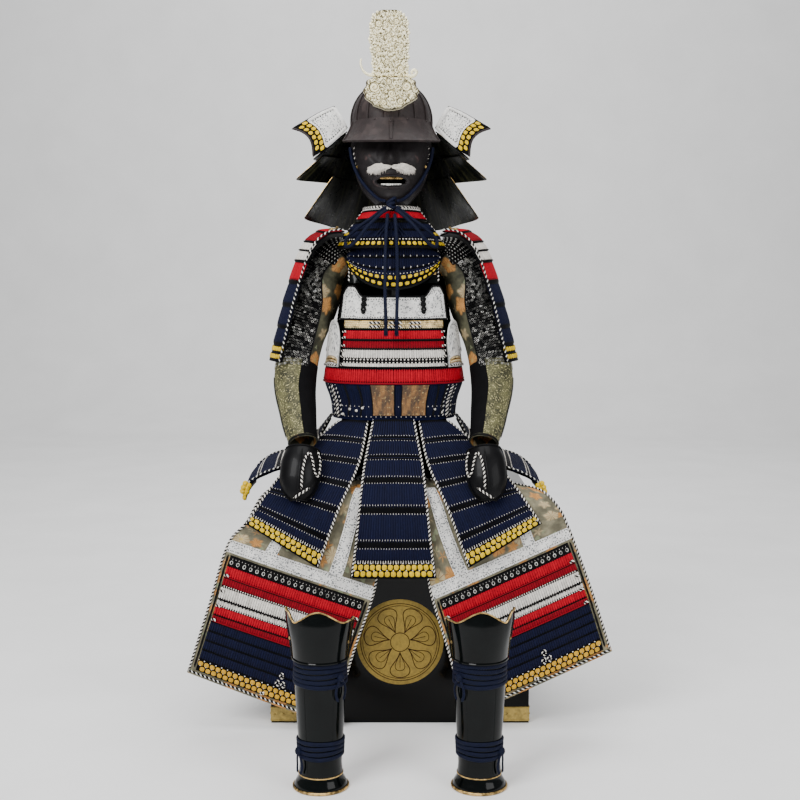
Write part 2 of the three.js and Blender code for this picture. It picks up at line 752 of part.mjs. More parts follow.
// The shoulder guards are bowed boards; they hang outwards from the shoulder.
const GUARD_PROFILE = [
  { x: 148, z: 1150 },
  { x: 182, z: 1143 },
  { x: 207, z: 1124 },
  { x: 227, z: 1090 },
  { x: 244, z: 1040 },
  { x: 266, z: 965 },
  { x: 283, z: 893 },
  { x: 296, z: 838 },
];
const GUARD = { y: 165, reach: 112, bow: 36, sag: 10 };

function guardForm() {
  const profile = new THREE.CatmullRomCurve3(GUARD_PROFILE.map((row) => vec(row.x, 0, row.z)));
  return (u, v) => {
    const side = 2 * u - 1;
    const point = profile.getPoint(v);
    const sag = GUARD.sag * side ** 2 * (1 - v);
    return vec(point.x - GUARD.bow * side ** 2, GUARD.y + GUARD.reach * side, point.z - sag);
  };
}
addPair(torso, 'shoulder_guard', wall(guardForm(), { columns: 5, stops: evenBoards(8) }), PAINT.navy);

// ---------------------------------------------------------------- skirt

const SKIRT_FRONT = [
  { left: [-48, 42, 706], right: [48, 42, 706] },
  { left: [-58, 20, 655], right: [58, 20, 655] },
  { left: [-68, -8, 605], right: [68, -8, 605] },
  { left: [-76, -44, 540], right: [76, -44, 540] },
  { left: [-85, -62, 450], right: [85, -62, 450] },
  { left: [-97, -64, 358], right: [97, -64, 358] },
];
const SKIRT_FRONT_SIDE = [
  { left: [58, 44, 702], right: [126, 74, 700] },
  { left: [76, -2, 612], right: [222, 34, 622] },
  { left: [122, -52, 510], right: [284, -26, 552] },
  { left: [169, -64, 381], right: [334, -56, 481] },
];
const SKIRT_SIDE = [
  { left: [150, 112, 702], right: [150, 232, 702] },
  { left: [186, 92, 640], right: [192, 250, 652] },
  { left: [240, 66, 598], right: [248, 270, 612] },
  { left: [300, 48, 578], right: [308, 288, 590] },
  { left: [338, 44, 552], right: [344, 292, 560] },
  { left: [346, 44, 518], right: [352, 292, 520] },
];
const SKIRT_BACK = [
  { left: [126, 276, 702], right: [6, 292, 704] },
  { left: [146, 330, 625], right: [6, 338, 625] },
  { left: [158, 392, 572], right: [6, 396, 572] },
  { left: [166, 424, 520], right: [6, 424, 520] },
  { left: [172, 430, 400], right: [6, 430, 400] },
];
const skirtPanel = (sections, bulge) =>
  wall(between(sections, bulge), { columns: 4, stops: evenBoards(6) });

add(torso, 'skirt_front', skirtPanel(SKIRT_FRONT, 4), PAINT.navy);
addPair(torso, 'skirt_front_side', skirtPanel(SKIRT_FRONT_SIDE, 6), PAINT.navy);
addPair(torso, 'skirt_side', skirtPanel(SKIRT_SIDE, 4), PAINT.navy);
addPair(torso, 'skirt_back', skirtPanel(SKIRT_BACK, 2), PAINT.navy);

// ---------------------------------------------------------------- thigh guards

// Each thigh guard's cloth lies on the box under the skirt and hangs down in front of it.
// The two hang differently: the left one lower, the right one pulled out to the side.
const APRON_LEFT = [
  { left: [-262, 34, 556], right: [-24, 34, 566] },
  { left: [-312, -17, 541], right: [-34, -16, 550] },
  { left: [-352, -38, 478], right: [-45, -40, 440] },
  { left: [-386, -44, 443], right: [-54, -46, 333] },
  { left: [-437, -46, 290], right: [-104, -46, 180] },
  { left: [-487, -46, 135], right: [-152, -46, 8] },
];
const APRON_RIGHT = [
  { left: [24, 34, 566], right: [262, 34, 558] },
  { left: [40, -16, 550], right: [330, -16, 545] },
  { left: [52, -40, 440], right: [366, -38, 508] },
  { left: [65, -46, 333], right: [383, -44, 472] },
  { left: [108, -46, 184], right: [436, -46, 331] },
  { left: [148, -46, 30], right: [484, -46, 184] },
];
const THIGH_BAND = { top: 0.6, foot: 0.643 };
const THIGH_FIELD = { top: 0.65, foot: 0.982, inset: 0.05 };
const THIGH_BOARDS = [0, 10, 22, 30, 43, 49, 59, 66, 76, 86, 96, 106, 118];

const partOf = (form, [left, right], [top, foot]) => (u, v) => form(lerp(left, right, u), lerp(top, foot, v));

for (const [side, sections] of [['left', APRON_LEFT], ['right', APRON_RIGHT]]) {
  const cloth = between(sections, 5);
  const band = partOf(cloth, [0.004, 0.996], [THIGH_BAND.top, THIGH_BAND.foot]);
  const fieldAcross = [THIGH_FIELD.inset, 1 - THIGH_FIELD.inset];
  const field = partOf(cloth, fieldAcross, [THIGH_FIELD.top, THIGH_FIELD.foot]);
  const clothWall = wall(cloth, { columns: 6, stops: evenStops(10), thickness: CLOTH });
  const bandWall = wall(band, {
    columns: 6,
    stops: evenStops(1),
    thickness: LEATHER,
    lift: LEATHER + SEAM,
  });
  const boards = wall(field, { columns: 6, stops: boardStops(THIGH_BOARDS, 1.5), lift: BOARD + SEAM });
  add(armour, `thigh_cloth_${side}`, clothWall, PAINT.brocade);
  add(armour, `thigh_band_${side}`, bandWall, PAINT.leather);
  add(armour, `thigh_boards_${side}`, boards, PAINT.navy);
}

// ---------------------------------------------------------------- greaves

const SHIN_SECTIONS = [
  { z: 296, halfWidth: 50, halfDepth: 49 },
  { z: 210, halfWidth: 52, halfDepth: 51 },
  { z: 106, halfWidth: 46, halfDepth: 44 },
  { z: 50, halfWidth: 43, halfDepth: 42 },
  { z: 24, halfWidth: 45, halfDepth: 44 },
  { z: 9, halfWidth: 54, halfDepth: 52 },
  { z: 0, halfWidth: 54, halfDepth: 52 },
];
const KNEE_SECTIONS = [
  { z: 380, halfWidth: 69, halfDepth: 66 },
  { z: 345, halfWidth: 67, halfDepth: 64 },
  { z: 300, halfWidth: 60, halfDepth: 59 },
  { z: 264, halfWidth: 55.5, halfDepth: 55 },
];

function legForm(sections, spread, topOf, foot) {
  return (u, v) => {
    const angle = radians(lerp(-spread, spread, u));
    const z = lerp(topOf(u), foot, v);
    return vec(
      GREAVE.x + atHeight(sections, z, 'halfWidth') * Math.sin(angle),
      GREAVE.y - atHeight(sections, z, 'halfDepth') * Math.cos(angle),
      z,
    );
  };
}

// The knee plate's rim has a round middle lobe, a low inner wing and a high outer wing.
function kneeTop(u) {
  const side = 2 * u - 1;
  const middle = 31 * Math.exp(-((side / 0.36) ** 2));
  const outer = 24 * smooth(side, 0.46, 0.7);
  const inner = 5 * smooth(-side, 0.46, 0.7);
  return 346 + middle + outer + inner;
}

const shinTop = SHIN_SECTIONS[0].z;
const shinHeights = [shinTop, 255, 210, 158, 106, 50, 24, 9, 0];
const shin = wall(legForm(SHIN_SECTIONS, 128, level(shinTop), 0), {
  columns: 12,
  stops: shinHeights.map((z) => ({ v: 1 - z / shinTop, lift: 0 })),
  thickness: IRON,
});
const knee = wall(legForm(KNEE_SECTIONS, 92, kneeTop, 266), {
  columns: 16,
  stops: evenStops(3),
  thickness: IRON,
});
addPair(armour, 'greave', shin, PAINT.lacquer);
addPair(armour, 'knee_plate', knee, PAINT.lacquer);

// ---------------------------------------------------------------- frame

// The middle of the part's box is over the origin and its lowest face is at height 0.
const extent = new THREE.Box3().setFromObject(armour);
const middle = extent.getCenter(new THREE.Vector3());
armour.position.set(-middle.x, -middle.y, -extent.min.z);

export default armour;
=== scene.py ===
"""Samurai armour on its armour box: laced boards, leather, brocade, mail, cords and the studio."""

import math

import bmesh
import bpy
import numpy as np
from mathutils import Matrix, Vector


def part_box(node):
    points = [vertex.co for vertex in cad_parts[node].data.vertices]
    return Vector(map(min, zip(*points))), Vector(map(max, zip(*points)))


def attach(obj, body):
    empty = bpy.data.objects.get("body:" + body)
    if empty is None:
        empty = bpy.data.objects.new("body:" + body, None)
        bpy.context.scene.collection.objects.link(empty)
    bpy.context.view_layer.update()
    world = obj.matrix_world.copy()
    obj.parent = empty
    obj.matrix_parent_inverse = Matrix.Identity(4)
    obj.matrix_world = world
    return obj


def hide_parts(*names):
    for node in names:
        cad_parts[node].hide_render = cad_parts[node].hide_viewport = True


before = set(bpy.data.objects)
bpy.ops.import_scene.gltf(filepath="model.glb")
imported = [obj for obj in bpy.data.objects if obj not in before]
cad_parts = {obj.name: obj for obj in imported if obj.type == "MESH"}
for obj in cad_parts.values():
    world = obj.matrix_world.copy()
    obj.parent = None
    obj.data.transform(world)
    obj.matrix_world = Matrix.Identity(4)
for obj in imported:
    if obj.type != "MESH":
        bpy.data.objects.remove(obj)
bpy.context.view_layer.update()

bl_info = {
    "name": "Samurai armour",
    "version": (1, 0, 0),
    "blender": (4, 5, 0),
    "location": "3D View > Sidebar > Armour",
    "description": "Makes the laced surface, cords and fittings of a samurai armour round its solids",
    "category": "Add Mesh",
}

# ---------------------------------------------------------------- driving sizes, in millimetres

BOX_LOW, BOX_HIGH = (np.array(corner) * 1000 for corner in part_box("box_body"))
# The sections below are written round the box's middle; the part's own origin is a little off it.
SHIFT = np.array([(BOX_LOW[0] + BOX_HIGH[0]) / 2, BOX_LOW[1], 0])

TORSO_SHIFT = -15  # the upper body sits a little to the left of the box
HEAD_SHIFT = -20
CLOTH, LEATHER, BOARD, STEP, IRON, SEAM = 2, 1.6, 3, 3, 2.5, 0.3
TORSO_Y, TORSO_POWER = 170, 2.3
HEAD_Y = 150
GREAVE_X, GREAVE_Y = 161, -358
HANDS = {1: "right", -1: "left"}

# Height, half width and half depth of each section, from the top down.
TORSO_SECTIONS = [
    (1120, 112, 92), (1014, 140, 112), (930, 153, 121), (824, 164, 126), (786, 166, 126),
    (745, 149, 118), (700, 144, 114),
]
MASK_SECTIONS = [
    (1348, 94, 86), (1320, 93, 95), (1290, 88, 99), (1262, 80, 101), (1235, 66, 99), (1212, 46, 92),
    (1202, 36, 78),
]
THROAT_SECTIONS = [(1214, 50, 74), (1166, 84, 100), (1128, 114, 120), (1100, 132, 128)]
SHIN_SECTIONS = [
    (296, 50, 49), (210, 52, 51), (106, 46, 44), (50, 43, 42), (24, 45, 44), (9, 54, 52), (0, 54, 52),
]
KNEE_SECTIONS = [(380, 69, 66), (345, 67, 64), (300, 60, 59), (264, 55.5, 55)]

# Left and right edge of each section, from the top down.
SKIRT_FRONT = [
    ((-48, 42, 706), (48, 42, 706)), ((-58, 20, 655), (58, 20, 655)), ((-68, -8, 605), (68, -8, 605)),
    ((-76, -44, 540), (76, -44, 540)), ((-85, -62, 450), (85, -62, 450)),
    ((-97, -64, 358), (97, -64, 358)),
]
SKIRT_FRONT_SIDE = [
    ((58, 44, 702), (126, 74, 700)), ((76, -2, 612), (222, 34, 622)),
    ((122, -52, 510), (284, -26, 552)), ((169, -64, 381), (334, -56, 481)),
]
SKIRT_SIDE = [
    ((150, 112, 702), (150, 232, 702)), ((186, 92, 640), (192, 250, 652)),
    ((240, 66, 598), (248, 270, 612)), ((300, 48, 578), (308, 288, 590)),
    ((338, 44, 552), (344, 292, 560)), ((346, 44, 518), (352, 292, 520)),
]
SKIRT_BACK = [
    ((126, 276, 702), (6, 292, 704)), ((146, 330, 625), (6, 338, 625)),
    ((158, 392, 572), (6, 396, 572)), ((166, 424, 520), (6, 424, 520)),
    ((172, 430, 400), (6, 430, 400)),
]
APRON = {
    "left": [
        ((-262, 34, 556), (-24, 34, 566)), ((-312, -17, 541), (-34, -16, 550)),
        ((-352, -38, 478), (-45, -40, 440)), ((-386, -44, 443), (-54, -46, 333)),
        ((-437, -46, 290), (-104, -46, 180)), ((-487, -46, 135), (-152, -46, 8)),
    ],
    "right": [
        ((24, 34, 566), (262, 34, 558)), ((40, -16, 550), (330, -16, 545)),
        ((52, -40, 440), (366, -38, 508)), ((65, -46, 333), (383, -44, 472)),
        ((108, -46, 184), (436, -46, 331)), ((148, -46, 30), (484, -46, 184)),
    ],
}
TURNBACK = [
    ((101, 105, 1379), (132, 118, 1430)), ((125, 101, 1353), (166, 112, 1415)),
    ((151, 99, 1331), (197, 106, 1397)), ((182, 97, 1311), (231, 104, 1377)),
]
STRAP = [
    ((64, 250, 1092), (104, 246, 1086)), ((66, 205, 1119), (106, 203, 1113)),
    ((66, 150, 1121), (106, 150, 1115)), ((66, 108, 1080), (106, 112, 1076)),
    ((66, 78, 1020), (106, 90, 1020)),
]
# Centre, half width and half depth along the sleeve and the hand guard.
SLEEVE_PATH = [
    (120, 165, 1090, 34, 44), (164, 164, 1046, 48, 53), (182, 160, 976, 51, 55),
    (218, 144, 885, 50, 53), (232, 108, 792, 49, 49), (221, 60, 716, 41, 41), (207, 12, 655, 32, 31),
]
HAND_PATH = [
    (206, -3, 640, 38, 33), (209, -22, 612, 45, 36), (212, -40, 578, 44, 33), (213, -53, 548, 32, 24),
    (213, -58, 533, 16, 14),
]
GUARD_PROFILE = [
    (148, 1150), (182, 1143), (207, 1124), (227, 1090), (244, 1040), (266, 965), (283, 893),
    (296, 838),
]

# ---------------------------------------------------------------- numbers and forms


def lerp(a, b, share):
    """The value that share of the way from a to b."""
    return a + (b - a) * share


def smooth(value, low, high):
    """0 at low and 1 at high, with soft ends."""
    share = np.clip((value - low) / (high - low), 0, 1)
    return share * share * (3 - 2 * share)


def unit(vectors):
    return vectors / np.maximum(np.linalg.norm(vectors, axis=-1, keepdims=True), 1e-12)


def stack(x, y, z):
    return np.stack(np.broadcast_arrays(np.asarray(x, float), y, z), axis=-1)


def steps(count):
    """Numbers in even steps from 0 to 1."""
    return np.linspace(0, 1, count)


def paired(u, v):
    """u and v as arrays of one shape."""
    return np.broadcast_arrays(np.asarray(u, float), np.asarray(v, float))


def at_height(sections, z, column):
    """A column of a table of sections, at a height."""
    heights, *columns = np.array(sections, float).T
    return np.interp(-np.asarray(z, float), -heights, columns[column])


def curve(points):
    """A smooth curve through the points, as a function of how far along it, from 0 to 1."""
    rows = np.array(points, float)
    rows = np.vstack([2 * rows[0] - rows[1], rows, 2 * rows[-1] - rows[-2]])
    spans = len(points) - 1

    def gap(a, b):
        return np.maximum(np.sum((b - a) ** 2, axis=-1, keepdims=True) ** 0.25, 1e-6)

    def at(share):
        place = np.clip(np.asarray(share, float), 0, 1) * spans
        i = np.minimum(place.astype(int), spans - 1)
        w = (place - i)[..., None]
        a, b, c, d = (rows[i + k] for k in range(4))
        before, here, after = gap(a, b), gap(b, c), gap(c, d)
        start = ((b - a) / before - (c - a) / (before + here) + (c - b) / here) * here
        end = ((c - b) / here - (d - b) / (here + after) + (d - c) / after) * here
        bend = (-3 * b + 3 * c - 2 * start - end) * w**2
        return b + start * w + bend + (2 * b - 2 * c + start + end) * w**3

    return at


def outward(form, u, v):
    """The direction out of a form; u runs from left to right and v down, seen from outside."""
    reach = 1e-3
    u, v = paired(u, v)
    across = form(np.minimum(u + reach, 1), v) - form(np.maximum(u - reach, 0), v)
    down = form(u, np.minimum(v + reach, 1)) - form(u, np.maximum(v - reach, 0))
    return unit(np.cross(down, across))


def moved(form, u, v, distance):
    """Points of a form, moved out of it."""
    u, v, distance = np.broadcast_arrays(np.asarray(u, float), v, distance)
    return form(u, v) + outward(form, u, v) * distance[..., None]


def between(sections, bulge=0):
    """A form between two edges, each a smooth curve through one point for each section."""
    left, right = (curve([row[k] for row in sections]) for k in (0, 1))

    def flat(u, v):
        u, v = paired(u, v)
        return lerp(left(v), right(v), u[..., None])

    return lambda u, v: moved(flat, u, v, bulge * (1 - (2 * np.asarray(u, float) - 1) ** 2))


def around(path, start, end):
    """A form round a bent centre line; degree 0 faces the viewer and 90 the right."""
    centre = curve([row[:3] for row in path])
    size = curve([(row[3], row[4], 0) for row in path])

    def form(u, v):
        u, v = paired(u, v)
        along = unit(centre(v + 1e-4) - centre(v - 1e-4))
        depth = unit(np.array([0, 1, 0]) - along * along[..., 1:2])
        side = np.cross(along, depth)
        angle = np.radians(lerp(start, end, u))[..., None]
        reach = size(v)
        out = side * reach[..., 0:1] * np.sin(angle)
        return centre(v) + out - depth * reach[..., 1:2] * np.cos(angle)

    return form


def round_head(degrees, z, half_width, half_depth):
    """A point round the head's upright axis; degree 0 faces front."""
    angle = np.radians(degrees)
    return stack(half_width * np.sin(angle), HEAD_Y - half_depth * np.cos(angle), z)


def visor_form(u, v):
    degrees = lerp(-66, 66, np.asarray(u, float))
    flare = 0.45 * v + 0.55 * np.asarray(v, float) ** 2
    foot = 1336 + 16 * (1 - np.cos(np.radians(degrees)))
    return round_head(degrees, lerp(1393, foot, v), lerp(99, 123, flare), lerp(121.5, 155, flare))


# Each lame of the neck guard: top, foot, opening, flare at top and foot, lift and sag.
NECK_LAMES = [
    (1372, 1308, 72, 0, 56, 0, 0), (1318, 1262, 74, 46, 90, -11, 6), (1272, 1174, 78, 8, 42, -15, 24),
]


def neck_form(lame):
    """The flared form of one lame of the neck guard."""
    top, foot, opening, flare_top, flare_foot, lift, sag = lame

    def form(u, v):
        side = 2 * np.asarray(u, float) - 1
        z = lerp(top, foot - sag * (1 - side**2), v)
        down = 1385 - z
        degrees = 180 + side * (180 - opening)
        point = round_head(degrees, z, 104 + 0.36 * down + lift, 125 + 0.4 * down + lift)
        front = smooth(np.abs(side), 0.62, 1) ** 1.4
        point[..., 0] -= np.sign(side) * front * lerp(flare_top, flare_foot, v)
        return point

    return form


def mask_point(degrees, z):
    return round_head(degrees, z, at_height(MASK_SECTIONS, z, 0), at_height(MASK_SECTIONS, z, 1))


# Nose, cheeks, lips and chin: x, z, half width, half height and how far each stands out.
FEATURES = [
    (0, 1303, 13, 17, 22), (0, 1330, 10, 26, 10), (-52, 1308, 24, 18, 6), (52, 1308, 24, 18, 6),
    (0, 1272, 44, 8, 5), (0, 1234, 40, 8, 5), (0, 1217, 26, 10, 7),
]
MASK_SPREAD, MASK_TOP, MASK_FOOT = 80, 1348, 1202


def mask_form(u, v):
    """The face of the mask, its features raised on it."""
    degrees = lerp(-MASK_SPREAD, MASK_SPREAD, np.asarray(u, float))
    point = mask_point(degrees, lerp(MASK_TOP, MASK_FOOT, v))
    x, z = point[..., 0].copy(), point[..., 2]
    for at_x, at_z, wide, tall, height in FEATURES:
        point[..., 1] -= height * np.exp(-(((x - at_x) / wide) ** 2) - ((z - at_z) / tall) ** 2)
    return point


def on_mask(degrees, z):
    """u and v of the mask's form at an angle and a height."""
    return 0.5 + degrees / (2 * MASK_SPREAD), (MASK_TOP - z) / (MASK_TOP - MASK_FOOT)


def throat_form(top, foot, spread):
    """A form round the throat between two heights."""

    def form(u, v):
        z = lerp(top, foot, np.asarray(v, float))
        width, depth = at_height(THROAT_SECTIONS, z, 0), at_height(THROAT_SECTIONS, z, 1)
        return round_head(lerp(-spread, spread, u), z, width, depth)

    return form


def bib_form(u, v):
    side = 2 * np.asarray(u, float) - 1
    angle = np.radians(60 * side)
    z = lerp(1112 - 22 * side**2, 1005 + 62 * side**2, v)
    return stack(124 * np.sin(angle), 162 - lerp(116, 122, v) * np.cos(angle), z)


def on_torso(degrees, z, lift=0.0):
    """A point on the trunk at an angle and a height."""
    angle, power = np.radians(degrees), 2 / TORSO_POWER
    across, ahead = np.sin(angle), np.cos(angle)
    width = at_height(TORSO_SECTIONS, z, 0) + lift
    depth = at_height(TORSO_SECTIONS, z, 1) + lift
    x = width * np.sign(across) * np.abs(across) ** power
    return stack(x, TORSO_Y - depth * np.sign(ahead) * np.abs(ahead) ** power, z)


def torso_form(start, end, top_of, foot, lift=0.0):
    """A piece of the cuirass between two angles, with its own upper edge."""

    def form(u, v):
        u = np.asarray(u, float)
        top = top_of(u) if callable(top_of) else top_of
        return on_torso(lerp(start, end, u), lerp(top, foot, v), lift)

    return form


def breast_top(u):
    side = np.abs(2 * u - 1)
    ears = 28 * np.maximum(0, (side - 0.84) / 0.16) ** 2
    return 990 + 25 * smooth(side, 0.48, 0.72) - ears


def flap_top(u, height=934, foot=850):
    peak = 0.22
    front = np.maximum(0, 1 - (np.abs(u - peak) / 0.235) ** 2.4)
    behind = np.where(u > peak, 24 * (1 - smooth(u, peak, 1)), 0)
    return np.maximum(foot + behind, foot + (height - foot) * np.sqrt(front))


def back_top(u):
    return 1086 - 26 * (2 * u - 1) ** 4


def guard_form(u, v):
    """The shoulder guard: a profile bowed over the shoulder."""
    profile = curve([(x, 0, z) for x, z in GUARD_PROFILE])
    side = 2 * np.asarray(u, float) - 1
    u, v = paired(u, v)
    point = profile(v)
    sag = 10 * side**2 * (1 - v)
    return stack(point[..., 0] - 36 * side**2, 165 + 112 * side, point[..., 2] - sag)


def knee_top(u):
    side = 2 * u - 1
    middle = 31 * np.exp(-((side / 0.36) ** 2))
    return 346 + middle + 24 * smooth(side, 0.46, 0.7) + 5 * smooth(-side, 0.46, 0.7)


def leg_form(sections, spread, top_of, foot):
    """A form round the shin between two heights, open behind."""

    def form(u, v):
        u = np.asarray(u, float)
        angle = np.radians(lerp(-spread, spread, u))
        z = lerp(top_of(u) if callable(top_of) else top_of, foot, v)
        x = GREAVE_X + at_height(sections, z, 0) * np.sin(angle)
        return stack(x, GREAVE_Y - at_height(sections, z, 1) * np.cos(angle), z)

    return form


def part_of(form, across, down):
    """The part of a form between two shares across and two down."""
    return lambda u, v: form(lerp(*across, np.asarray(u, float)), lerp(*down, np.asarray(v, float)))


# ---------------------------------------------------------------- making meshes


def grid_quads(index):
    """The four corner numbers of each face of grids of points."""
    corners = index[:, :-1, :-1], index[:, 1:, :-1], index[:, 1:, 1:], index[:, :-1, 1:]
    return np.stack(corners, axis=-1).reshape(-1, 4)


class Work:
    """Gathers the patches of one piece, in millimetres, and makes them into one mesh."""

    def __init__(self, shift=0, side=1, seed=1):
        self.shift, self.side = shift, side
        self.points, self.tints, self.faces, self.uvs, self.kinds = [], [], [], [], []
        self.finishes = []
        self.total = 0
        self.random = np.random.default_rng(seed)

    def kind(self, finish):
        if finish not in self.finishes:
            self.finishes.append(finish)
        return self.finishes.index(finish)

    def corners(self, points, tint=1.0):
        self.points.append(points.reshape(-1, 3))
        self.tints.append(np.broadcast_to(tint, points.shape[:-1]).reshape(-1))
        first = self.total
        self.total += self.points[-1].shape[0]
        return first

    def patches(self, points, uv, finish, tint=1.0, wrapped=False):
        """Adds n grids of rows by columns; uv has a column more than points where wrapped."""
        n, rows, columns = points.shape[:3]
        index = np.arange(n * rows * columns).reshape(n, rows, columns)
        index = index + self.corners(points, tint)
        if wrapped:
            index = np.concatenate([index, index[:, :, :1]], axis=2)
        self.faces.append(grid_quads(index))
        place = np.arange(uv[..., 0].size).reshape(uv.shape[:3])
        self.uvs.append(uv.reshape(-1, 2)[grid_quads(place)])
        self.kinds.append(np.full(len(self.faces[-1]), self.kind(finish)))

    def sheet(self, points, uv, finish, tint=1.0, wrapped=False):
        tint = tint[None] if isinstance(tint, np.ndarray) else tint
        self.patches(points[None], uv[None], finish, tint, wrapped)

    def build(self, name, nodes=(), sharp=35, weld=True):
        """Makes the piece, which stands for the CAD nodes named."""
        points = np.concatenate(self.points) * [self.side, 1, 1] + [self.shift, 0, 0] + SHIFT
        faces, uvs = np.concatenate(self.faces), np.concatenate(self.uvs)
        if self.side < 0:
            faces, uvs = faces[:, ::-1], uvs[:, ::-1]
        mesh = bpy.data.meshes.new(name)
        mesh.from_pydata((points / 1000).tolist(), [], faces.tolist())
        mesh.uv_layers.new(name="UV").data.foreach_set("uv", uvs.astype(np.float32).ravel())
        tint = mesh.attributes.new("tint", "FLOAT", "POINT")
        tint.data.foreach_set("value", np.concatenate(self.tints).astype(np.float32))
        for finish in self.finishes:
            mesh.materials.append(material(finish))
        mesh.polygons.foreach_set("material_index", np.concatenate(self.kinds).astype(np.int32))
        if weld:
            shape = bmesh.new()
            shape.from_mesh(mesh)
            bmesh.ops.remove_doubles(shape, verts=shape.verts, dist=2e-5)
            bmesh.ops.dissolve_degenerate(shape, edges=shape.edges, dist=1e-6)
            shape.to_mesh(mesh)
            shape.free()
        mesh.shade_smooth()
        mesh.set_sharp_from_angle(angle=math.radians(sharp))
        piece = bpy.data.objects.new(name, mesh)
        bpy.context.scene.collection.objects.link(piece)
        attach(piece, "root")
        if nodes:
            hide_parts(*nodes)
        return piece

    def finished(self, name, sharp=50):
        """Makes a piece of plain parts that stands for the node of its own name."""
        return self.build(name, [name], sharp, weld=False)


def even(rows, lift=0.0):
    """Stops at even steps down a wall, all at one lift."""
    return [(k / rows, lift) for k in range(rows + 1)]


def shares(edges):
    """Where each edge lies between the first and the last, from 0 to 1."""
    return [(edge - edges[0]) / (edges[-1] - edges[0]) for edge in edges]


def board_stops(edges, step=STEP):
    """Each laced board's foot stands out, and the next board starts behind it."""
    stops = []
    marks = shares(edges)
    for i, (top, foot) in enumerate(zip(marks, marks[1:])):
        stops.append((lerp(top, foot, 0.14) if i else top, 0.0))
        stops.append((lerp(top, foot, 0.94), step * 0.97))
        stops.append((foot, step))
    return stops


def lengths(points):
    """How far each point of a line is along it."""
    steps = np.linalg.norm(np.diff(points, axis=0), axis=-1)
    return np.concatenate([[0], np.cumsum(steps)])


def wall(work, form, columns, stops, thickness, finish, back=None, lift=0.0, wrapped=False):
    """A closed wall on a form, its inner face `thickness` behind its lift."""
    u = steps(columns + 1)
    v, lifts = np.array(stops, float).T
    if wrapped:
        u = u[:-1]
    u_grid, v_grid = np.meshgrid(u, v)
    front = moved(form, u_grid, v_grid, lift + lifts[:, None] + 0 * u_grid)
    behind = moved(form, u_grid, v_grid, np.full_like(u_grid, lift - thickness))
    across = lengths(form(steps(columns + 1), 0.5)) / 1000
    down = lengths(form(0.5, v)) / 1000
    uv = np.stack(np.meshgrid(across, down), axis=-1)
    back = back or finish
    work.sheet(front, uv, finish, wrapped=wrapped)
    if wrapped:
        turned = np.concatenate([behind[:, :1], behind[:, :0:-1]], axis=1)
        work.sheet(turned, uv[:, ::-1], back, wrapped=True)
    else:
        work.sheet(behind[:, ::-1], uv[:, ::-1], back)
    closing = [
        (np.stack([behind[0], front[0]]), uv[:2]),
        (np.stack([front[-1], behind[-1]]), uv[:2]),
    ]
    if wrapped:
        closing = [(np.concatenate([rim, rim[:, :1]], axis=1), place) for rim, place in closing]
    else:
        closing.append((np.stack([behind[:, 0], front[:, 0]], axis=1), uv[:, :2]))
        closing.append((np.stack([front[:, -1], behind[:, -1]], axis=1), uv[:, :2]))
    for rim, place in closing:
        work.sheet(rim, place, finish)


def spread(form, v, samples=60):
    """Where on u a length across the form falls, at one v, and the whole length."""
    u = steps(samples)
    along = lengths(form(u, v))
    return (lambda length: np.interp(length, along, u)), along[-1]


def dome(a, b, across=2.0, down=8.0):
    """How high a bead stands at a and b, each from -1 to 1 over its width and its length."""
    side = np.maximum(0, 1 - np.abs(a) ** across) ** (1 / across)
    return side * np.maximum(0, 1 - np.abs(b) ** down) ** (1 / down)


def beads(work, form, across, ends, width, height, finish, lift=(0, 0), shape=(2.0, 8.0), cells=(3, 4)):
    """Rounded bars that lie down a form, their middles at lengths `across` from its left edge."""
    to_u, _ = spread(form, (ends[0] + ends[1]) / 2)
    a = np.sin(np.linspace(-1, 1, cells[0] + 1) * math.pi / 2)
    b = np.sin(np.linspace(-1, 1, cells[1] + 1) * math.pi / 2)
    b_grid, a_grid = np.meshgrid(b, a, indexing="ij")
    narrow = np.maximum(0, 1 - np.abs(b_grid) ** shape[1]) ** (1 / shape[1])
    place = np.asarray(across, float)[:, None, None] + a_grid * narrow * width / 2
    u = to_u(place)
    share = np.broadcast_to((b_grid + 1) / 2, u.shape)
    v = lerp(*ends, share)
    out = lerp(*lift, share) + height * dome(a_grid, b_grid, *shape) - 0.25
    long = np.linalg.norm(np.diff(form(0.5, np.array(ends, float)), axis=0)) / 1000
    tone = work.random.uniform(0, 1, len(u))[:, None, None]
    uv = np.stack([np.broadcast_to(a_grid * width / 2000, u.shape), share * long + tone * 0.1], axis=-1)
    work.patches(moved(form, u, v, out), uv, finish, tint=lerp(0.86, 1.08, tone) + 0 * u)


def row(work, form, ends, pitch, height, finish, margin=0.0, share=0.96, offset=0.5, **more):
    """One row of beads side by side over the width of a form."""
    _, whole = spread(form, (ends[0] + ends[1]) / 2)
    free = whole - 2 * margin
    n = max(1, round(free / pitch))
    places = margin + (np.arange(n) + offset) * free / n
    beads(work, form, places[places < whole - 1], ends, share * free / n, height, finish, **more)


def flat_path(form, u, v, lift=0.0):
    """Points on a form and the directions out of it."""
    u, v = paired(u, v)
    return moved(form, u, v, np.full(u.shape, float(lift))), outward(form, u, v)


def ribbon(work, points, out, width, height, finish, sides=6, taper=True):
    """A braid of oval section along a line that lies on a surface."""
    along = unit(np.gradient(points, axis=0))
    side = unit(np.cross(along, out))
    up = np.cross(side, along)
    angle = np.linspace(0, 2 * math.pi, sides, endpoint=False)
    size = np.ones(len(points))
    if taper:
        size[[0, -1]] = 0.15
    ring = side[:, None] * (np.cos(angle)[:, None] * width / 2)
    ring = ring + up[:, None] * (np.sin(angle)[:, None] * height / 2)
    grid = points[:, None] + ring * size[:, None, None] + out[:, None] * height / 2
    girth = (width + height) * 1.57 / 1000
    across = np.linspace(0, girth, sides + 1)
    work.sheet(grid, np.stack(np.meshgrid(across, lengths(points) / 1000), axis=-1), finish, wrapped=True)


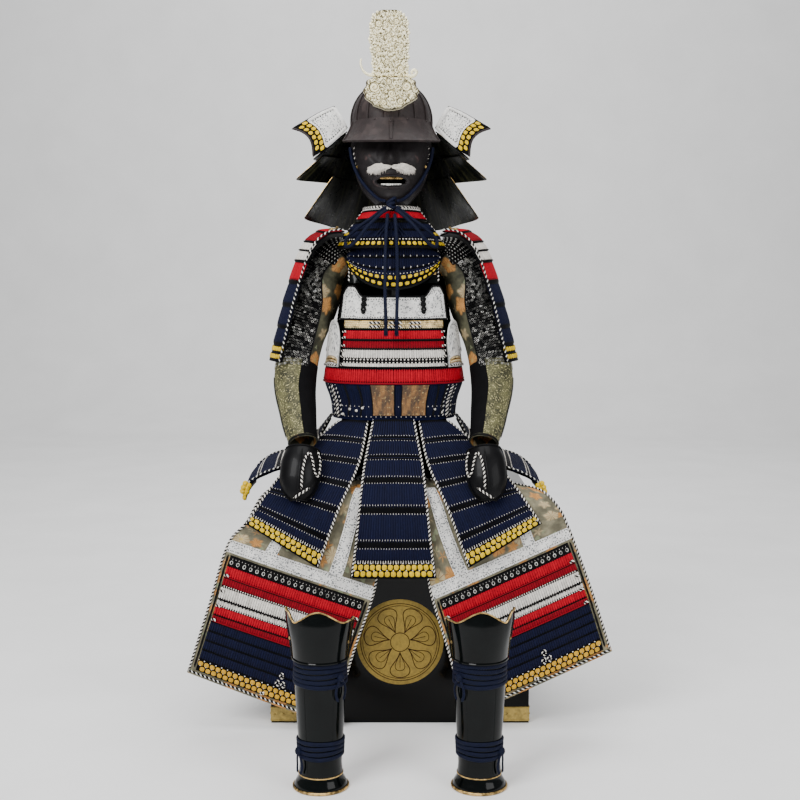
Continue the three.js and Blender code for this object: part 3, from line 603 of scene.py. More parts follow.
def laid(work, form, u, v, lift, width, height, finish, **more):
    """A braid along a line of a form."""
    ribbon(work, *flat_path(form, u, v, lift), width, height, finish, **more)


def turned_frames(points):
    """Directions that follow a line with no twist of their own."""
    along = unit(np.gradient(points, axis=0))
    side = [unit(np.cross(along[0], [0.31, 0.9, 0.3]))]
    for direction in along[1:]:
        side.append(unit(side[-1] - direction * np.dot(side[-1], direction)))
    return along, np.array(side)


def tube(work, points, radius, finish, sides=8, closed_ends=True):
    """A round cord; radius is one number or one for each point."""
    points = np.asarray(points, float)
    along, side = turned_frames(points)
    up = np.cross(side, along)
    radii = np.broadcast_to(np.asarray(radius, float), len(points)).copy()
    if closed_ends:
        radii[[0, -1]] *= 0.2
    angle = np.linspace(0, 2 * math.pi, sides, endpoint=False)[:, None]
    ring = side[:, None] * np.cos(angle) + up[:, None] * np.sin(angle)
    grid = points[:, None] + ring * radii[:, None, None]
    across = np.linspace(0, 2 * math.pi * radii.max(), sides + 1) / 1000
    uv = np.stack(np.meshgrid(across, lengths(points) / 1000), axis=-1)
    work.sheet(grid, uv, finish, wrapped=True)


def stitches(work, points, out, pitch, length, width, finish, height=0.9):
    """Short stitches along a line on a surface."""
    along = lengths(points)
    n = max(1, int(along[-1] // pitch))
    middle = (np.arange(n) + 0.5) * along[-1] / n
    a = np.array([-1.0, -0.6, 0.6, 1.0])
    place = middle[:, None, None] + a[None, :, None] * length / 2 + np.zeros((1, 1, 3))
    spot, normal = (
        np.stack([np.interp(place, along, values[:, k]) for k in range(3)], axis=-1)
        for values in (points, out)
    )
    direction = unit(
        np.stack([np.interp(place, along, np.gradient(points, axis=0)[:, k])
        for k in range(3)], -1)
    )
    side = unit(np.cross(direction, normal))
    b = np.array([-1.0, 0.0, 1.0])
    rounded = np.array([0.35, 1, 1, 0.35])[:, None]
    grid = spot + side * (b * width / 2 * rounded)[None, ..., None]
    lift = (1 - np.abs(b)) * rounded * height - 0.1
    grid = grid + normal * lift[None, ..., None]
    uv = np.stack(np.broadcast_arrays(b * width / 2000, place / 1000), axis=-1)
    work.patches(grid, uv, finish)


def sewn(work, form, u, v, lift, *stitch):
    """Stitches along a line of a form."""
    stitches(work, *flat_path(form, u, v, lift), *stitch)


def lathe(work, profile, finish, columns=48, centre=(0, 0), stretch=1.0):
    """A turned form of radius and height rows, open or closed as the profile is."""
    profile = np.array(profile, float)
    angle = np.linspace(0, 2 * math.pi, columns, endpoint=False)
    x = centre[0] + profile[:, :1] * np.sin(angle)
    y = centre[1] - profile[:, :1] * np.cos(angle) * stretch
    across = np.linspace(0, 2 * math.pi * profile[:, 0].max(), columns + 1) / 1000
    uv = np.stack(np.meshgrid(across, lengths(profile) / 1000), axis=-1)
    work.sheet(stack(x, y, profile[:, 1:2] + 0 * x), uv, finish, wrapped=True)


def ball(work, at, radius, finish, squash=1.0, out=(0, -1, 0), cells=(9, 5)):
    """A domed stud on a surface, half sunk in it."""
    out = unit(np.asarray(out, float))
    side = unit(np.cross(out, [0.1, 0.2, 1]))
    up = np.cross(side, out)
    turn = np.linspace(0, 2 * math.pi, cells[0], endpoint=False)
    rise = np.linspace(math.pi / 2 - 0.08, -0.5, cells[1])[:, None, None]
    ring = side * np.cos(turn)[:, None] + up * np.sin(turn)[:, None]
    grid = np.asarray(at, float) + radius * (ring * np.cos(rise) + out * np.sin(rise) * squash)
    across = np.linspace(0, 6.3 * radius, cells[0] + 1) / 1000
    uv = np.stack(np.meshgrid(across, np.linspace(0, radius, cells[1]) / 1000), axis=-1)
    work.sheet(grid, uv, finish, wrapped=True)


def stud(work, form, u, v, lift, radius, finish, squash, **more):
    """A domed stud on a form."""
    at, out = flat_path(form, u, v, lift)
    ball(work, at, radius, finish, squash, out, **more)


# ---------------------------------------------------------------- finishes

# Base colours, in linear light.
COLOURS = {
    "navy": (0.0030, 0.0048, 0.0255),
    "navy_cord": (0.0026, 0.0050, 0.021),
    "red": (0.47, 0.0003, 0.014),
    "crimson": (0.25, 0.0004, 0.008),
    "white": (0.80, 0.76, 0.70),
    "yellow": (0.84, 0.56, 0.012),
    "amber": (0.72, 0.40, 0.030),
    "black": (0.0025, 0.0025, 0.003),
    "lacquer": (0.0015, 0.0022, 0.0022),
    "leather": (0.80, 0.79, 0.76),
    "russet": (0.022, 0.0155, 0.0155),
    "mask": (0.0125, 0.0100, 0.0108),
    "crest": (0.97, 0.90, 0.62),
    "gilt": (0.72, 0.48, 0.18),
    "pale_gilt": (0.86, 0.72, 0.42),
    "brass": (0.46, 0.33, 0.09),
    "silver": (0.86, 0.85, 0.80),
    "hair": (0.82, 0.77, 0.70),
    "ground": (0.085, 0.082, 0.046),
    "blossom": (0.50, 0.235, 0.065),
    "cream": (0.42, 0.34, 0.19),
    "wood": (0.05, 0.030, 0.018),
}


LACE_COLOURS = ("navy", "red", "white", "yellow")


def colour_of(name):
    """The colour of that name, from the add-on's settings where a user can change it."""
    if name in LACE_COLOURS:
        return tuple(getattr(bpy.context.scene.armour_lacing, name))
    return COLOURS[name]


class Recipe:
    """A material's nodes, made and linked by short calls."""

    def __init__(self, name, colour, roughness, **constants):
        self.material = bpy.data.materials.new(name)
        self.material.use_nodes = True
        self.tree = self.material.node_tree
        self.shader = self.tree.nodes["Principled BSDF"]
        self.colour = (*(colour_of(colour) if isinstance(colour, str) else colour), 1)
        self.material.diffuse_color = self.colour
        self.set(self.shader, "Roughness", roughness)
        for socket, value in constants.items():
            self.set(self.shader, socket.replace("_", " ").title().replace("Ior", "IOR"), value)
        self.coordinates = self.node("ShaderNodeTexCoord")
        place = self.node("ShaderNodeSeparateXYZ", self.coordinates.outputs["UV"])
        self.x, self.y = place.outputs["X"], place.outputs["Y"]

    def set(self, node, socket, value):
        if isinstance(value, bpy.types.NodeSocket):
            self.tree.links.new(value, node.inputs[socket])
        elif value is not None:
            node.inputs[socket].default_value = value

    def node(self, kind, *values, **named):
        made = self.tree.nodes.new(kind)
        for key, value in named.items():
            setattr(made, key, value)
        for i, value in enumerate(values):
            self.set(made, i, value)
        return made

    def math(self, operation, *values):
        return self.node("ShaderNodeMath", *values, operation=operation).outputs[0]

    def mix(self, share, a, b, blend="MIX"):
        made = self.node("ShaderNodeMix", data_type="RGBA", blend_type=blend)
        for socket, value in ((0, share), (6, a), (7, b)):
            if isinstance(value, tuple) and len(value) == 3:
                value = (*value, 1)
            self.set(made, socket, value)
        return made.outputs[2]

    def ramp(self, value, low, high):
        made = self.node("ShaderNodeMapRange", value, low, high, 0.0, 1.0)
        made.interpolation_type = "SMOOTHSTEP"
        return made.outputs[0]

    def noise(self, scale, detail=3.0, space="Object", roughness=0.55, stretch=None):
        place = self.coordinates.outputs[space]
        if stretch:
            place = self.node("ShaderNodeMapping", place, (0, 0, 0), (0, 0, 0), stretch).outputs[0]
        made = self.node("ShaderNodeTexNoise", place)
        for socket, value in (("Scale", scale), ("Detail", detail), ("Roughness", roughness)):
            self.set(made, socket, value)
        return made.outputs["Fac"]

    def wave(self, value, period):
        """A smooth wave from 0 to 1 with one crest every period."""
        turn = self.math("MULTIPLY", value, 2 * math.pi / period)
        return self.math("MULTIPLY_ADD", self.math("SINE", turn), 0.5, 0.5)

    def tint(self):
        made = self.node("ShaderNodeAttribute", attribute_name="tint")
        return made.outputs["Fac"]

    def paint(self, value):
        self.set(self.shader, "Base Color", value)

    def toned(self, value=None, low=0.8, high=1.15, scale=160.0):
        """The colour, a little lighter and darker in patches and from bead to bead."""
        patch = self.node("ShaderNodeMapRange", self.noise(scale), 0.3, 0.7, low, high).outputs[0]
        tone = self.math("MULTIPLY", patch, self.tint())
        grey = self.node("ShaderNodeCombineColor", tone, tone, tone).outputs[0]
        self.paint(self.mix(1.0, value or self.colour, grey, blend="MULTIPLY"))

    def bump(self, height, distance, strength=1.0):
        made = self.node("ShaderNodeBump")
        for socket, value in (("Strength", strength), ("Distance", distance), ("Height", height)):
            self.set(made, socket, value)
        before = self.shader.inputs["Normal"]
        if before.is_linked:
            self.set(made, "Normal", before.links[0].from_socket)
        self.set(self.shader, "Normal", made.outputs[0])

    def rough(self, low, high, scale=90.0):
        span = self.node("ShaderNodeMapRange", self.noise(scale, 4.0), 0.3, 0.7, low, high)
        self.set(self.shader, "Roughness", span.outputs[0])


def silk(name, colour, shine=0.12):
    """Flat plaited silk: chevrons down its length."""
    recipe = Recipe(name, colour, 0.7, specular_ior_level=shine)
    slope = recipe.math("ABSOLUTE", recipe.x)
    strand = recipe.wave(recipe.math("ADD", recipe.y, slope), 0.0032)
    # The grooves between the strands are drawn darker: painted shade.
    shade = recipe.mix(strand, tuple(0.62 * c for c in recipe.colour[:3]), recipe.colour)
    recipe.toned(shade)
    recipe.bump(strand, 0.0006, 0.6)
    return recipe.material


def braid(name, first, second, period=0.0088, share=0.5):
    """A round edge braid in two colours that slant across it."""
    recipe = Recipe(name, first, 0.65, specular_ior_level=0.12)
    slant = recipe.math("MULTIPLY_ADD", recipe.x, 0.8, recipe.y)
    stripe = recipe.ramp(recipe.wave(slant, period), share - 0.08, share + 0.08)
    strand = recipe.wave(recipe.math("MULTIPLY_ADD", recipe.x, -1.3, recipe.y), 0.003)
    recipe.toned(recipe.mix(stripe, colour_of(second), colour_of(first)))
    recipe.bump(strand, 0.0006, 0.7)
    return recipe.material


def cord_silk(name, colour):
    """A round plaited cord."""
    recipe = Recipe(name, colour, 0.65, specular_ior_level=0.14)
    one = recipe.wave(recipe.math("MULTIPLY_ADD", recipe.x, 0.9, recipe.y), 0.0052)
    two = recipe.wave(recipe.math("MULTIPLY_ADD", recipe.x, -0.9, recipe.y), 0.0052)
    plait = recipe.math("MAXIMUM", one, two)
    # The grooves of the plait are drawn darker: painted shade.
    recipe.toned(recipe.mix(plait, tuple(0.45 * c for c in recipe.colour[:3]), recipe.colour))
    recipe.bump(plait, 0.0009, 0.8)
    return recipe.material


def lacquer(name, colour="lacquer", roughness=(0.08, 0.16), coat=0.14, shine=0.08):
    """Deep black lacquer with faint waves and dust."""
    recipe = Recipe(
        name, colour, roughness[0], specular_ior_level=shine, coat_weight=coat, coat_roughness=0.04,
    )
    recipe.toned(low=0.7, high=1.5, scale=22.0)
    recipe.rough(*roughness, scale=40.0)
    recipe.bump(recipe.noise(28.0, 2.0), 0.0010, 0.15)
    return recipe.material


def streaked_lacquer(name):
    """The inside of a lame: black lacquer with painted brown-green reflections that run down it in streaks.
    """
    recipe = Recipe(name, "lacquer", 0.3, specular_ior_level=0.16, coat_weight=0.05)
    streak = recipe.noise(34.0, 4.0, space="UV", stretch=(3.0, 0.35, 1.0))
    share = recipe.ramp(streak, 0.46, 0.72)
    # The paler brown-green streaks are painted reflections on the glossy lacquer.
    recipe.toned(recipe.mix(share, (0.003, 0.0035, 0.003), (0.030, 0.030, 0.014)))
    recipe.rough(0.22, 0.45)
    recipe.bump(streak, 0.0015, 0.35)
    return recipe.material


def iron(name, colour, pit=0.0006, worn=(0.038, 0.027, 0.026), worn_from=0.66):
    """Hammered iron with a brown skin, pitted, and worn paler where it is rubbed."""
    recipe = Recipe(name, colour, 0.55, metallic=0.2, specular_ior_level=0.3)
    large, small = recipe.noise(26.0, 5.0), recipe.noise(420.0, 4.0)
    rubbed = recipe.ramp(recipe.math("MULTIPLY", recipe.tint(), large), worn_from * 0.8, worn_from)
    recipe.toned(recipe.mix(rubbed, recipe.colour, worn), low=0.75, high=1.3, scale=60.0)
    recipe.rough(0.42, 0.68, scale=120.0)
    recipe.bump(small, pit, 0.7)
    recipe.bump(large, 0.002, 0.3)
    return recipe.material


def metal(name, colour, roughness=(0.25, 0.45), metallic=0.9, bite=0.0004, dark=0.35):
    """Gilt or silvered metal, engraved or worn darker in its hollows."""
    recipe = Recipe(name, colour, roughness[0], metallic=metallic)
    fine = recipe.noise(300.0, 5.0)
    hollow = tuple(dark * c for c in recipe.colour[:3])
    shade = recipe.mix(recipe.ramp(recipe.noise(90.0, 4.0), 0.34, 0.6), hollow, recipe.colour)
    recipe.toned(shade, low=0.85, high=1.1, scale=220.0)
    recipe.rough(*roughness)
    recipe.bump(fine, bite, 0.6)
    return recipe.material


def carved_metal(name):
    """Pale leaf over carving; the hollows are dark."""
    recipe = Recipe(name, "crest", 0.42, metallic=0.35, specular_ior_level=0.6)
    depth = recipe.ramp(recipe.tint(), 0.30, 0.75)
    fleck = recipe.ramp(recipe.noise(520.0, 3.0), 0.30, 0.42)
    shade = recipe.mix(recipe.math("MULTIPLY", depth, fleck), (0.10, 0.075, 0.028), recipe.colour)
    recipe.paint(shade)
    recipe.rough(0.32, 0.55)
    recipe.bump(recipe.noise(380.0, 4.0), 0.0006, 0.6)
    return recipe.material


def leather(name, specks=True):
    """White tanned leather, stencilled all over with small dark specks."""
    recipe = Recipe(name, "leather", 0.6, specular_ior_level=0.35)
    grain = recipe.noise(700.0, 4.0)
    shade = recipe.mix(recipe.ramp(recipe.noise(30.0, 4.0), 0.35, 0.75), (0.60, 0.59, 0.57), recipe.colour)
    if specks:
        cell = recipe.node("ShaderNodeTexVoronoi", recipe.coordinates.outputs["UV"])
        recipe.set(cell, "Scale", 300.0)
        recipe.set(cell, "Randomness", 0.85)
        colour = recipe.node("ShaderNodeSeparateColor", cell.outputs["Color"])
        size = recipe.math("MULTIPLY_ADD", colour.outputs[0], 0.50, 0.05)
        speck = recipe.ramp(recipe.math("SUBTRACT", cell.outputs["Distance"], size), -0.03, 0.03)
        shade = recipe.mix(speck, (0.10, 0.11, 0.12), shade)
    recipe.toned(shade, low=0.9, high=1.06)
    recipe.bump(grain, 0.0004, 0.6)
    return recipe.material


def brocade(name, ground="ground", scale=34.0, dull=1.0, shadow=0.28):
    """Woven flowers: round blossoms with petals, small leaves and a ribbed ground."""
    recipe = Recipe(name, ground, 0.6, specular_ior_level=0.25)
    shade = recipe.mix(
        recipe.ramp(recipe.noise(24.0, 3.0, space="UV"), 0.36, 0.66),
        tuple(shadow * c for c in recipe.colour[:3]),
        recipe.colour,
    )
    uv = recipe.coordinates.outputs["UV"]
    layers = [(scale * 2.1, "leaf", 3.0, 0.30), (scale, "bloom", 5.0, 0.46)]
    for layer_scale, kind, petals, reach in layers:
        cell = recipe.node("ShaderNodeTexVoronoi", uv)
        recipe.set(cell, "Scale", layer_scale)
        recipe.set(cell, "Randomness", 0.72)
        scaled = recipe.node("ShaderNodeVectorMath", uv, (layer_scale,) * 3, operation="MULTIPLY")
        middle = recipe.node(
            "ShaderNodeVectorMath", cell.outputs["Position"], (layer_scale,) * 3, operation="MULTIPLY",
        )
        away = recipe.node(
            "ShaderNodeVectorMath", scaled.outputs[0], middle.outputs[0], operation="SUBTRACT",
        )
        offset = recipe.node("ShaderNodeSeparateXYZ", away.outputs[0])
        angle = recipe.math("ARCTAN2", offset.outputs["Y"], offset.outputs["X"])
        chance = recipe.node("ShaderNodeSeparateColor", cell.outputs["Color"])
        turned = recipe.math("MULTIPLY_ADD", chance.outputs[1], 6.0, angle)
        ripple = recipe.math("COSINE", recipe.math("MULTIPLY", turned, petals))
        edge = recipe.math("MULTIPLY_ADD", ripple, 0.045, reach)
        distance = cell.outputs["Distance"]
        inside = recipe.ramp(recipe.math("SUBTRACT", edge, distance), -0.06, 0.08)
        if kind == "leaf":
            inside = recipe.math("MULTIPLY", inside, recipe.ramp(chance.outputs[0], 0.45, 0.5))
            shade = recipe.mix(inside, shade, (0.20, 0.22, 0.13))
            continue
        petal = recipe.mix(recipe.ramp(chance.outputs[0], 0.70, 0.74), COLOURS["blossom"], COLOURS["cream"])
        vein = recipe.ramp(recipe.math("ABSOLUTE", ripple), 0.05, 0.4)
        petal = recipe.mix(vein, (0.20, 0.085, 0.03), petal)
        heart = recipe.ramp(recipe.math("SUBTRACT", 0.13, distance), -0.02, 0.03)
        petal = recipe.mix(heart, petal, (0.42, 0.30, 0.10))
        shade = recipe.mix(inside, shade, petal)
        relief = inside
    weave = recipe.math("MULTIPLY", recipe.wave(recipe.x, 0.0011), recipe.wave(recipe.y, 0.0016))
    recipe.toned(shade, low=0.7 * dull, high=1.15 * dull, scale=70.0)
    recipe.bump(weave, 0.0003, 0.6)
    recipe.bump(relief, 0.0008, 0.5)
    return recipe.material


def rust_brocade(name):
    """Brown-gold brocade woven in soft upright streaks."""
    recipe = Recipe(name, "blossom", 0.65, sheen_weight=0.15)
    streak = recipe.noise(60.0, 4.0, space="UV", stretch=(1.0, 0.3, 1.0))
    shade = recipe.mix(recipe.ramp(streak, 0.38, 0.62), (0.045, 0.022, 0.008), (0.25, 0.115, 0.030))
    fleck = recipe.ramp(recipe.noise(180.0, 3.0, space="UV"), 0.58, 0.70)
    recipe.toned(recipe.mix(fleck, shade, (0.42, 0.30, 0.12)), low=0.7, high=1.2)
    recipe.bump(recipe.wave(recipe.y, 0.0016), 0.0004, 0.6)
    return recipe.material


def gold_speckled(name):
    """Olive cloth woven with small uneven flecks of gold."""
    recipe = Recipe(name, "ground", 0.6, specular_ior_level=0.25)
    patch = recipe.ramp(recipe.noise(32.0, 4.0, space="UV"), 0.36, 0.62)
    shade = recipe.mix(patch, (0.030, 0.030, 0.014), (0.115, 0.110, 0.048))
    fleck = recipe.ramp(recipe.noise(230.0, 2.0, space="UV"), 0.56, 0.64)
    recipe.toned(recipe.mix(fleck, shade, (0.40, 0.36, 0.18)), low=0.7, high=1.2)
    recipe.bump(fleck, 0.0006, 0.6)
    return recipe.material


def plain_cloth(name, colour):
    """Plain woven cloth."""
    recipe = Recipe(name, colour, 0.8, specular_ior_level=0.08)
    weave = recipe.math("MULTIPLY", recipe.wave(recipe.x, 0.0012), recipe.wave(recipe.y, 0.0012))
    recipe.toned(low=0.7, high=1.25, scale=40.0)
    recipe.bump(weave, 0.0004, 0.7)
    return recipe.material


def hair(name):
    """Brushed animal hair, cream with grey roots."""
    recipe = Recipe(name, "hair", 0.75, sheen_weight=0.6)
    strand = recipe.noise(900.0, 3.0)
    recipe.toned(recipe.mix(strand, (0.50, 0.44, 0.38), recipe.colour), low=0.85, high=1.1)
    recipe.bump(strand, 0.0006, 0.5)
    return recipe.material


def wood(name):
    """Dark oiled wood with its grain running up."""
    recipe = Recipe(name, "wood", 0.45)
    grain = recipe.noise(60.0, 5.0, stretch=(1.0, 1.0, 0.06))
    recipe.toned(recipe.mix(recipe.ramp(grain, 0.35, 0.65), (0.022, 0.013, 0.008), recipe.colour))
    recipe.rough(0.35, 0.6)
    recipe.bump(grain, 0.0008, 0.4)
    return recipe.material


FINISHES = {
    "navy_silk": lambda n: silk(n, "navy"),
    "red_silk": lambda n: silk(n, "red"),
    "crimson_silk": lambda n: silk(n, "crimson"),
    "white_silk": lambda n: silk(n, "white", 0.2),
    "yellow_silk": lambda n: silk(n, "yellow", 0.2),
    "amber_silk": lambda n: silk(n, "amber", 0.2),
    "black_silk": lambda n: silk(n, "black"),
    "edge_braid": lambda n: braid(n, "white", "black", 0.0092, 0.61),
    "dark_braid": lambda n: braid(n, "silver", "black", 0.0105, 0.80),
    "navy_cord": lambda n: cord_silk(n, "navy_cord"),
    "black_cord": lambda n: cord_silk(n, "black"),
    "lacquer": lambda n: lacquer(n),
    "board_lacquer": lambda n: lacquer(n, "black", (0.5, 0.65), 0.0, 0.03),
    "glove_lacquer": lambda n: lacquer(n, "black", (0.35, 0.5), 0.04, 0.1),
    "streaked_lacquer": streaked_lacquer,
    "russet_iron": lambda n: iron(n, "russet"),
    "mask_iron": lambda n: iron(n, "mask", 0.0011, (0.060, 0.036, 0.034), 0.74),
    "gilt": lambda n: metal(n, "gilt"),
    "pale_gilt": lambda n: metal(n, "pale_gilt", dark=0.5),
    "bronze_gilt": lambda n: metal(n, "gilt", (0.3, 0.5), dark=0.16),
    "brass": lambda n: metal(n, "brass", (0.38, 0.6), 0.55, dark=0.6),
    "flat_gold": lambda n: metal(n, (0.26, 0.175, 0.028), (0.42, 0.6), 0.35, 0.0002, 0.75),
    "dark_line": lambda n: plain_cloth(n, (0.030, 0.012, 0.006)),
    "silver": lambda n: metal(n, "silver", metallic=0.8, dark=0.3),
    "crest_metal": carved_metal,
    "leather": leather,
    "plain_leather": lambda n: leather(n, specks=False),
    "brocade": lambda n: brocade(n, (0.215, 0.195, 0.125), 25.0, 1.05, 0.5),
    "sleeve_brocade": lambda n: brocade(n, scale=23.0, dull=0.85),
    "rust_brocade": rust_brocade,
    "gold_speckled": gold_speckled,
    "navy_cloth": lambda n: plain_cloth(n, "navy"),
    "black_cloth": lambda n: plain_cloth(n, "black"),
    "white_hair": hair,
    "dark_wood": wood,
}
MADE = {}


def material(finish):
    """The material of a finish, made once."""
    if finish not in MADE:
        MADE[finish] = FINISHES[finish](finish)
    return MADE[finish]


# ---------------------------------------------------------------- lacing in common

CELL_PITCH = 13.7
SEAM_STITCH = (6.0, 3.2, 2.4, "black_silk")
BAND_STITCH = (6.0, 3.0, 2.0, "black_silk")
FRONT = (0.0, -1.0, 0.0)


def laced_boards(
    work, form, columns, edges, colours, step=STEP, height=None, pitch=None, wrapped=False, **more,
):
    """Stepped boards, each covered by a row of upright cords in its own colour."""
    wall(work, form, columns, board_stops(edges, step), BOARD, "board_lacquer", wrapped=wrapped, **more)
    lift = more.get("lift", 0.0)
    marks = shares(edges)
    for i, (top, foot, colour) in enumerate(zip(marks, marks[1:], colours)):
        if not colour:
            continue
        ends = (lerp(top, foot, 0.02 if i else 0.04), lerp(top, foot, 0.97))
        row(
            work,
            form,
            ends,
            pitch or bpy.context.scene.armour_lacing.cord_pitch,
            height or bpy.context.scene.armour_lacing.cord_height,
            colour,
            lift=(lift, lift + step),
        )


def ticks(work, form, v, pitch, lift, finish="white_silk", size=(1.7, 4.0), margin=4.0, offset=0.5):
    """Small beads along a level line of a form, for crossing stitches and for painted highlights on board
    edges.
    """
    _, whole = spread(form, v)
    down = np.linalg.norm(form(0.5, 1.0) - form(0.5, 0.0))
    half = size[1] / 2 / down
    n = max(1, int((whole - 2 * margin) / pitch))
    places = margin + (np.arange(n) + offset) * (whole - 2 * margin) / n
    beads(
        work, form, places, (v - half, v + half), size[0], 0.9, finish, lift=(lift, lift), shape=(2.0, 3.0),
        cells=(4, 3),
    )


def cells_row(work, form, v, pitch, size, lift, finish="yellow_silk", offset=0.5, margin=0.0, rim=True):
    """Plump rounded-square knots of silk, each on a dark rim."""
    _, whole = spread(form, v)
    down = np.linalg.norm(form(0.5, 1.0) - form(0.5, 0.0))
    half = size[1] / 2 / down
    n = max(1, round((whole - 2 * margin) / pitch))
    step = (whole - 2 * margin) / n
    places = margin + (np.arange(n) + offset) * step
    places = places[(places > size[0] / 2) & (places < whole - size[0] / 2)]
    if not len(places):
        return
    ends = (v - half, v + half)
    wide = min(size[0], 0.9 * step)
    if rim:
        grow = 0.9 / down
        beads(
            work, form, places, (ends[0] - grow, ends[1] + grow), wide + 1.8, 0.9, "black_silk",
            lift=(lift, lift), shape=(5.0, 5.0),
        )
    beads(work, form, places, ends, wide, 2.2, finish, lift=(lift, lift), shape=(3.2, 3.2), cells=(5, 5))


def side_braids(
    work, form, finish="edge_braid", lift=1.0, width=6.0, height=3.4, at=(0.0, 1.0), down=(0.0, 1.0),
    samples=32,
):
    """A round braid down each side of a panel."""
    _, whole = spread(form, 0.5)
    v = np.linspace(*down, samples)
    for u in at:
        inset = width / 2 / whole
        place = min(max(u, inset), 1 - inset)
        laid(work, form, place, v, lift, width, height, finish)


def level_braid(work, form, v, finish, lift=1.0, width=5.0, height=2.6, across=(0.0, 1.0), samples=48):
    """A braid along a level line of a form."""
    laid(work, form, np.linspace(*across, samples), v, lift, width, height, finish)


def twisted(work, form, v, lift=1.0, width=5.0, across=(0.0, 1.0)):
    """Two thin cords twisted round each other along a level line."""
    level_braid(work, form, v, "edge_braid", lift, width, width * 0.6, across)


# ---------------------------------------------------------------- helmet, crest and neck guard

BOWL = {"foot": 1376, "spring": 1396, "rise": 97, "half_width": 95.5, "depth_ratio": 1.23}


def bowl_point(angle, share):
    """On the bowl at a compass angle in degrees, 0 in front, and a share of the way to its crown."""
    turn = np.radians(angle)
    lift = np.asarray(share, float)
    flat = np.clip(lift / 0.12, 0, 1)
    curved = np.clip((lift - 0.12) / 0.88, 0, 1) * math.pi / 2
    reach = BOWL["half_width"] * np.where(lift < 0.12, 1.0, np.cos(curved))
    z = np.where(
        lift < 0.12, lerp(BOWL["foot"], BOWL["spring"], flat),
        BOWL["spring"] + BOWL["rise"] * np.sin(curved),
    )
    return stack(reach * np.sin(turn), HEAD_Y - BOWL["depth_ratio"] * reach * np.cos(turn), z)


def bowl_form(u, v):
    return bowl_point(-180 + 360 * np.asarray(u, float), 0.97 - 0.97 * np.asarray(v, float))


def helmet_bowl():
    """Sixteen plates whose standing edges meet at the ringed hole of the crown."""
    work = Work(HEAD_SHIFT, seed=3)
    wall(work, bowl_form, 96, even(16), IRON, "russet_iron", wrapped=True)
    plates = 16
    for k in range(plates):
        angle = (k + 0.5) * 360 / plates
        laid(
            work, bowl_form, angle / 360, np.linspace(0.10, 0.985, 26), -0.4, 3.4, 3.4, "russet_iron",
            sides=8,
        )
        for v in (0.34, 0.52, 0.7, 0.86):
            stud(work, bowl_form, (angle + 5.2) / 360 % 1, v, -0.2, 1.9, "russet_iron", 0.6, cells=(8, 4))
    rings = [(BOWL["half_width"] * 0.30, 6.6, 4.2), (BOWL["half_width"] * 0.215, 5.2, 4.8)]
    crown = BOWL["spring"] + BOWL["rise"]
    for radius, lift, fat in rings:
        angle = np.linspace(0, 2 * math.pi, 13)
        profile = stack(radius + fat * np.cos(angle), crown - lift + fat * 0.75 * np.sin(angle), 0)[:, :2]
        profile[:, 1] += 3.4 * (1 - radius / 29)
        lathe(work, profile[::-1], "bronze_gilt" if radius < 25 else "russet_iron", 40, (0, HEAD_Y), 1.23)
    tube_profile = [
        (12.5, crown + 3.2), (14.5, crown + 1), (15.5, crown - 4), (12.2, crown - 6), (11.4, crown - 2),
        (12.5, crown + 3.2),
    ]
    lathe(work, tube_profile[::-1], "bronze_gilt", 32, (0, HEAD_Y), 1.1)
    laid(work, bowl_form, steps(90), 0.965, 0.2, 6.0, 2.4, "russet_iron", taper=False)
    return work.finished("helmet_bowl")


def visor():
    """The iron peak, its rolled rim and rivets."""
    work = Work(HEAD_SHIFT, seed=4)
    wall(work, visor_form, 56, even(10), IRON, "russet_iron")
    laid(work, visor_form, steps(60), 0.985, 0.2, 3.6, 3.4, "russet_iron")
    for u in (0.0, 1.0):
        laid(work, visor_form, abs(u - 0.008), steps(24), 0.1, 3.2, 2.8, "russet_iron")
    for u in (0.09, 0.335, 0.5, 0.665, 0.91):
        stud(work, visor_form, u, 0.06, 0.0, 2.6, "russet_iron", 0.75)
    return work.finished("helmet_visor")


def prong():
    """The narrow ridged plate on the peak that holds the crest."""

    def form(u, v):
        v = np.asarray(v, float)
        half = np.where(v < 0.15, 3.4, lerp(2.6, 1.4, v))
        degrees = lerp(-half, half, u)
        return visor_form(0.5 + degrees / 132, lerp(0.1, 0.92, v))

    work = Work(HEAD_SHIFT, seed=5)
    wall(work, form, 6, even(14), 1.4, "russet_iron", lift=1.4 + SEAM)
    for u in (0.06, 0.94):
        laid(work, form, u, np.linspace(0.03, 0.97, 16), 0.8, 1.8, 2.0, "russet_iron", sides=6)
    stud(work, form, 0.5, 0.1, 1.6, 2.6, "russet_iron", 0.8)
    return work.finished("crest_prong")


def spiral_height(x, z, middle, size, turns=1.6, hand=1):
    """A rolled curl: a round ridge that winds in to its middle; 0 outside it."""
    away = np.hypot(x - middle[0], z - middle[1]) / size
    angle = np.arctan2(z - middle[1], hand * (x - middle[0])) / (2 * math.pi)
    wound = (away * turns - angle) % 1
    ridge = np.sin(math.pi * wound) ** 0.7
    cover = 1 - smooth(away, 0.84, 1.0)
    return cover * (0.35 + 0.65 * ridge) * (1.0 - 0.25 * away)


def crest_relief(x, z, spirals):
    """Close, winding leaf work with narrow sunk lines, and a few rolled curls over it."""
    bend_x = x + 3.2 * np.sin(z * 0.31 + 1.7 * np.sin(x * 0.19)) + 1.6 * np.sin(z * 0.83 + x * 0.41)
    bend_z = z + 3.0 * np.sin(x * 0.37 + 1.3 * np.sin(z * 0.17)) + 1.5 * np.sin(x * 0.91 - z * 0.37)
    wave = np.sin(0.66 * bend_x + 0.2) + np.sin(0.33 * bend_x + 0.57 * bend_z + 1.0)
    wave = wave + np.sin(0.33 * bend_x - 0.57 * bend_z + 2.0)
    height = 0.16 + 0.70 * smooth(np.abs(wave), 0.04, 0.62)
    for middle, size, hand in spirals:
        away = np.hypot(x - middle[0], z - middle[1]) / size
        height = np.where(away < 1.0, 0.30, height)
        height = np.maximum(height, spiral_height(x, z, middle, size, 1.7, hand))
    return height


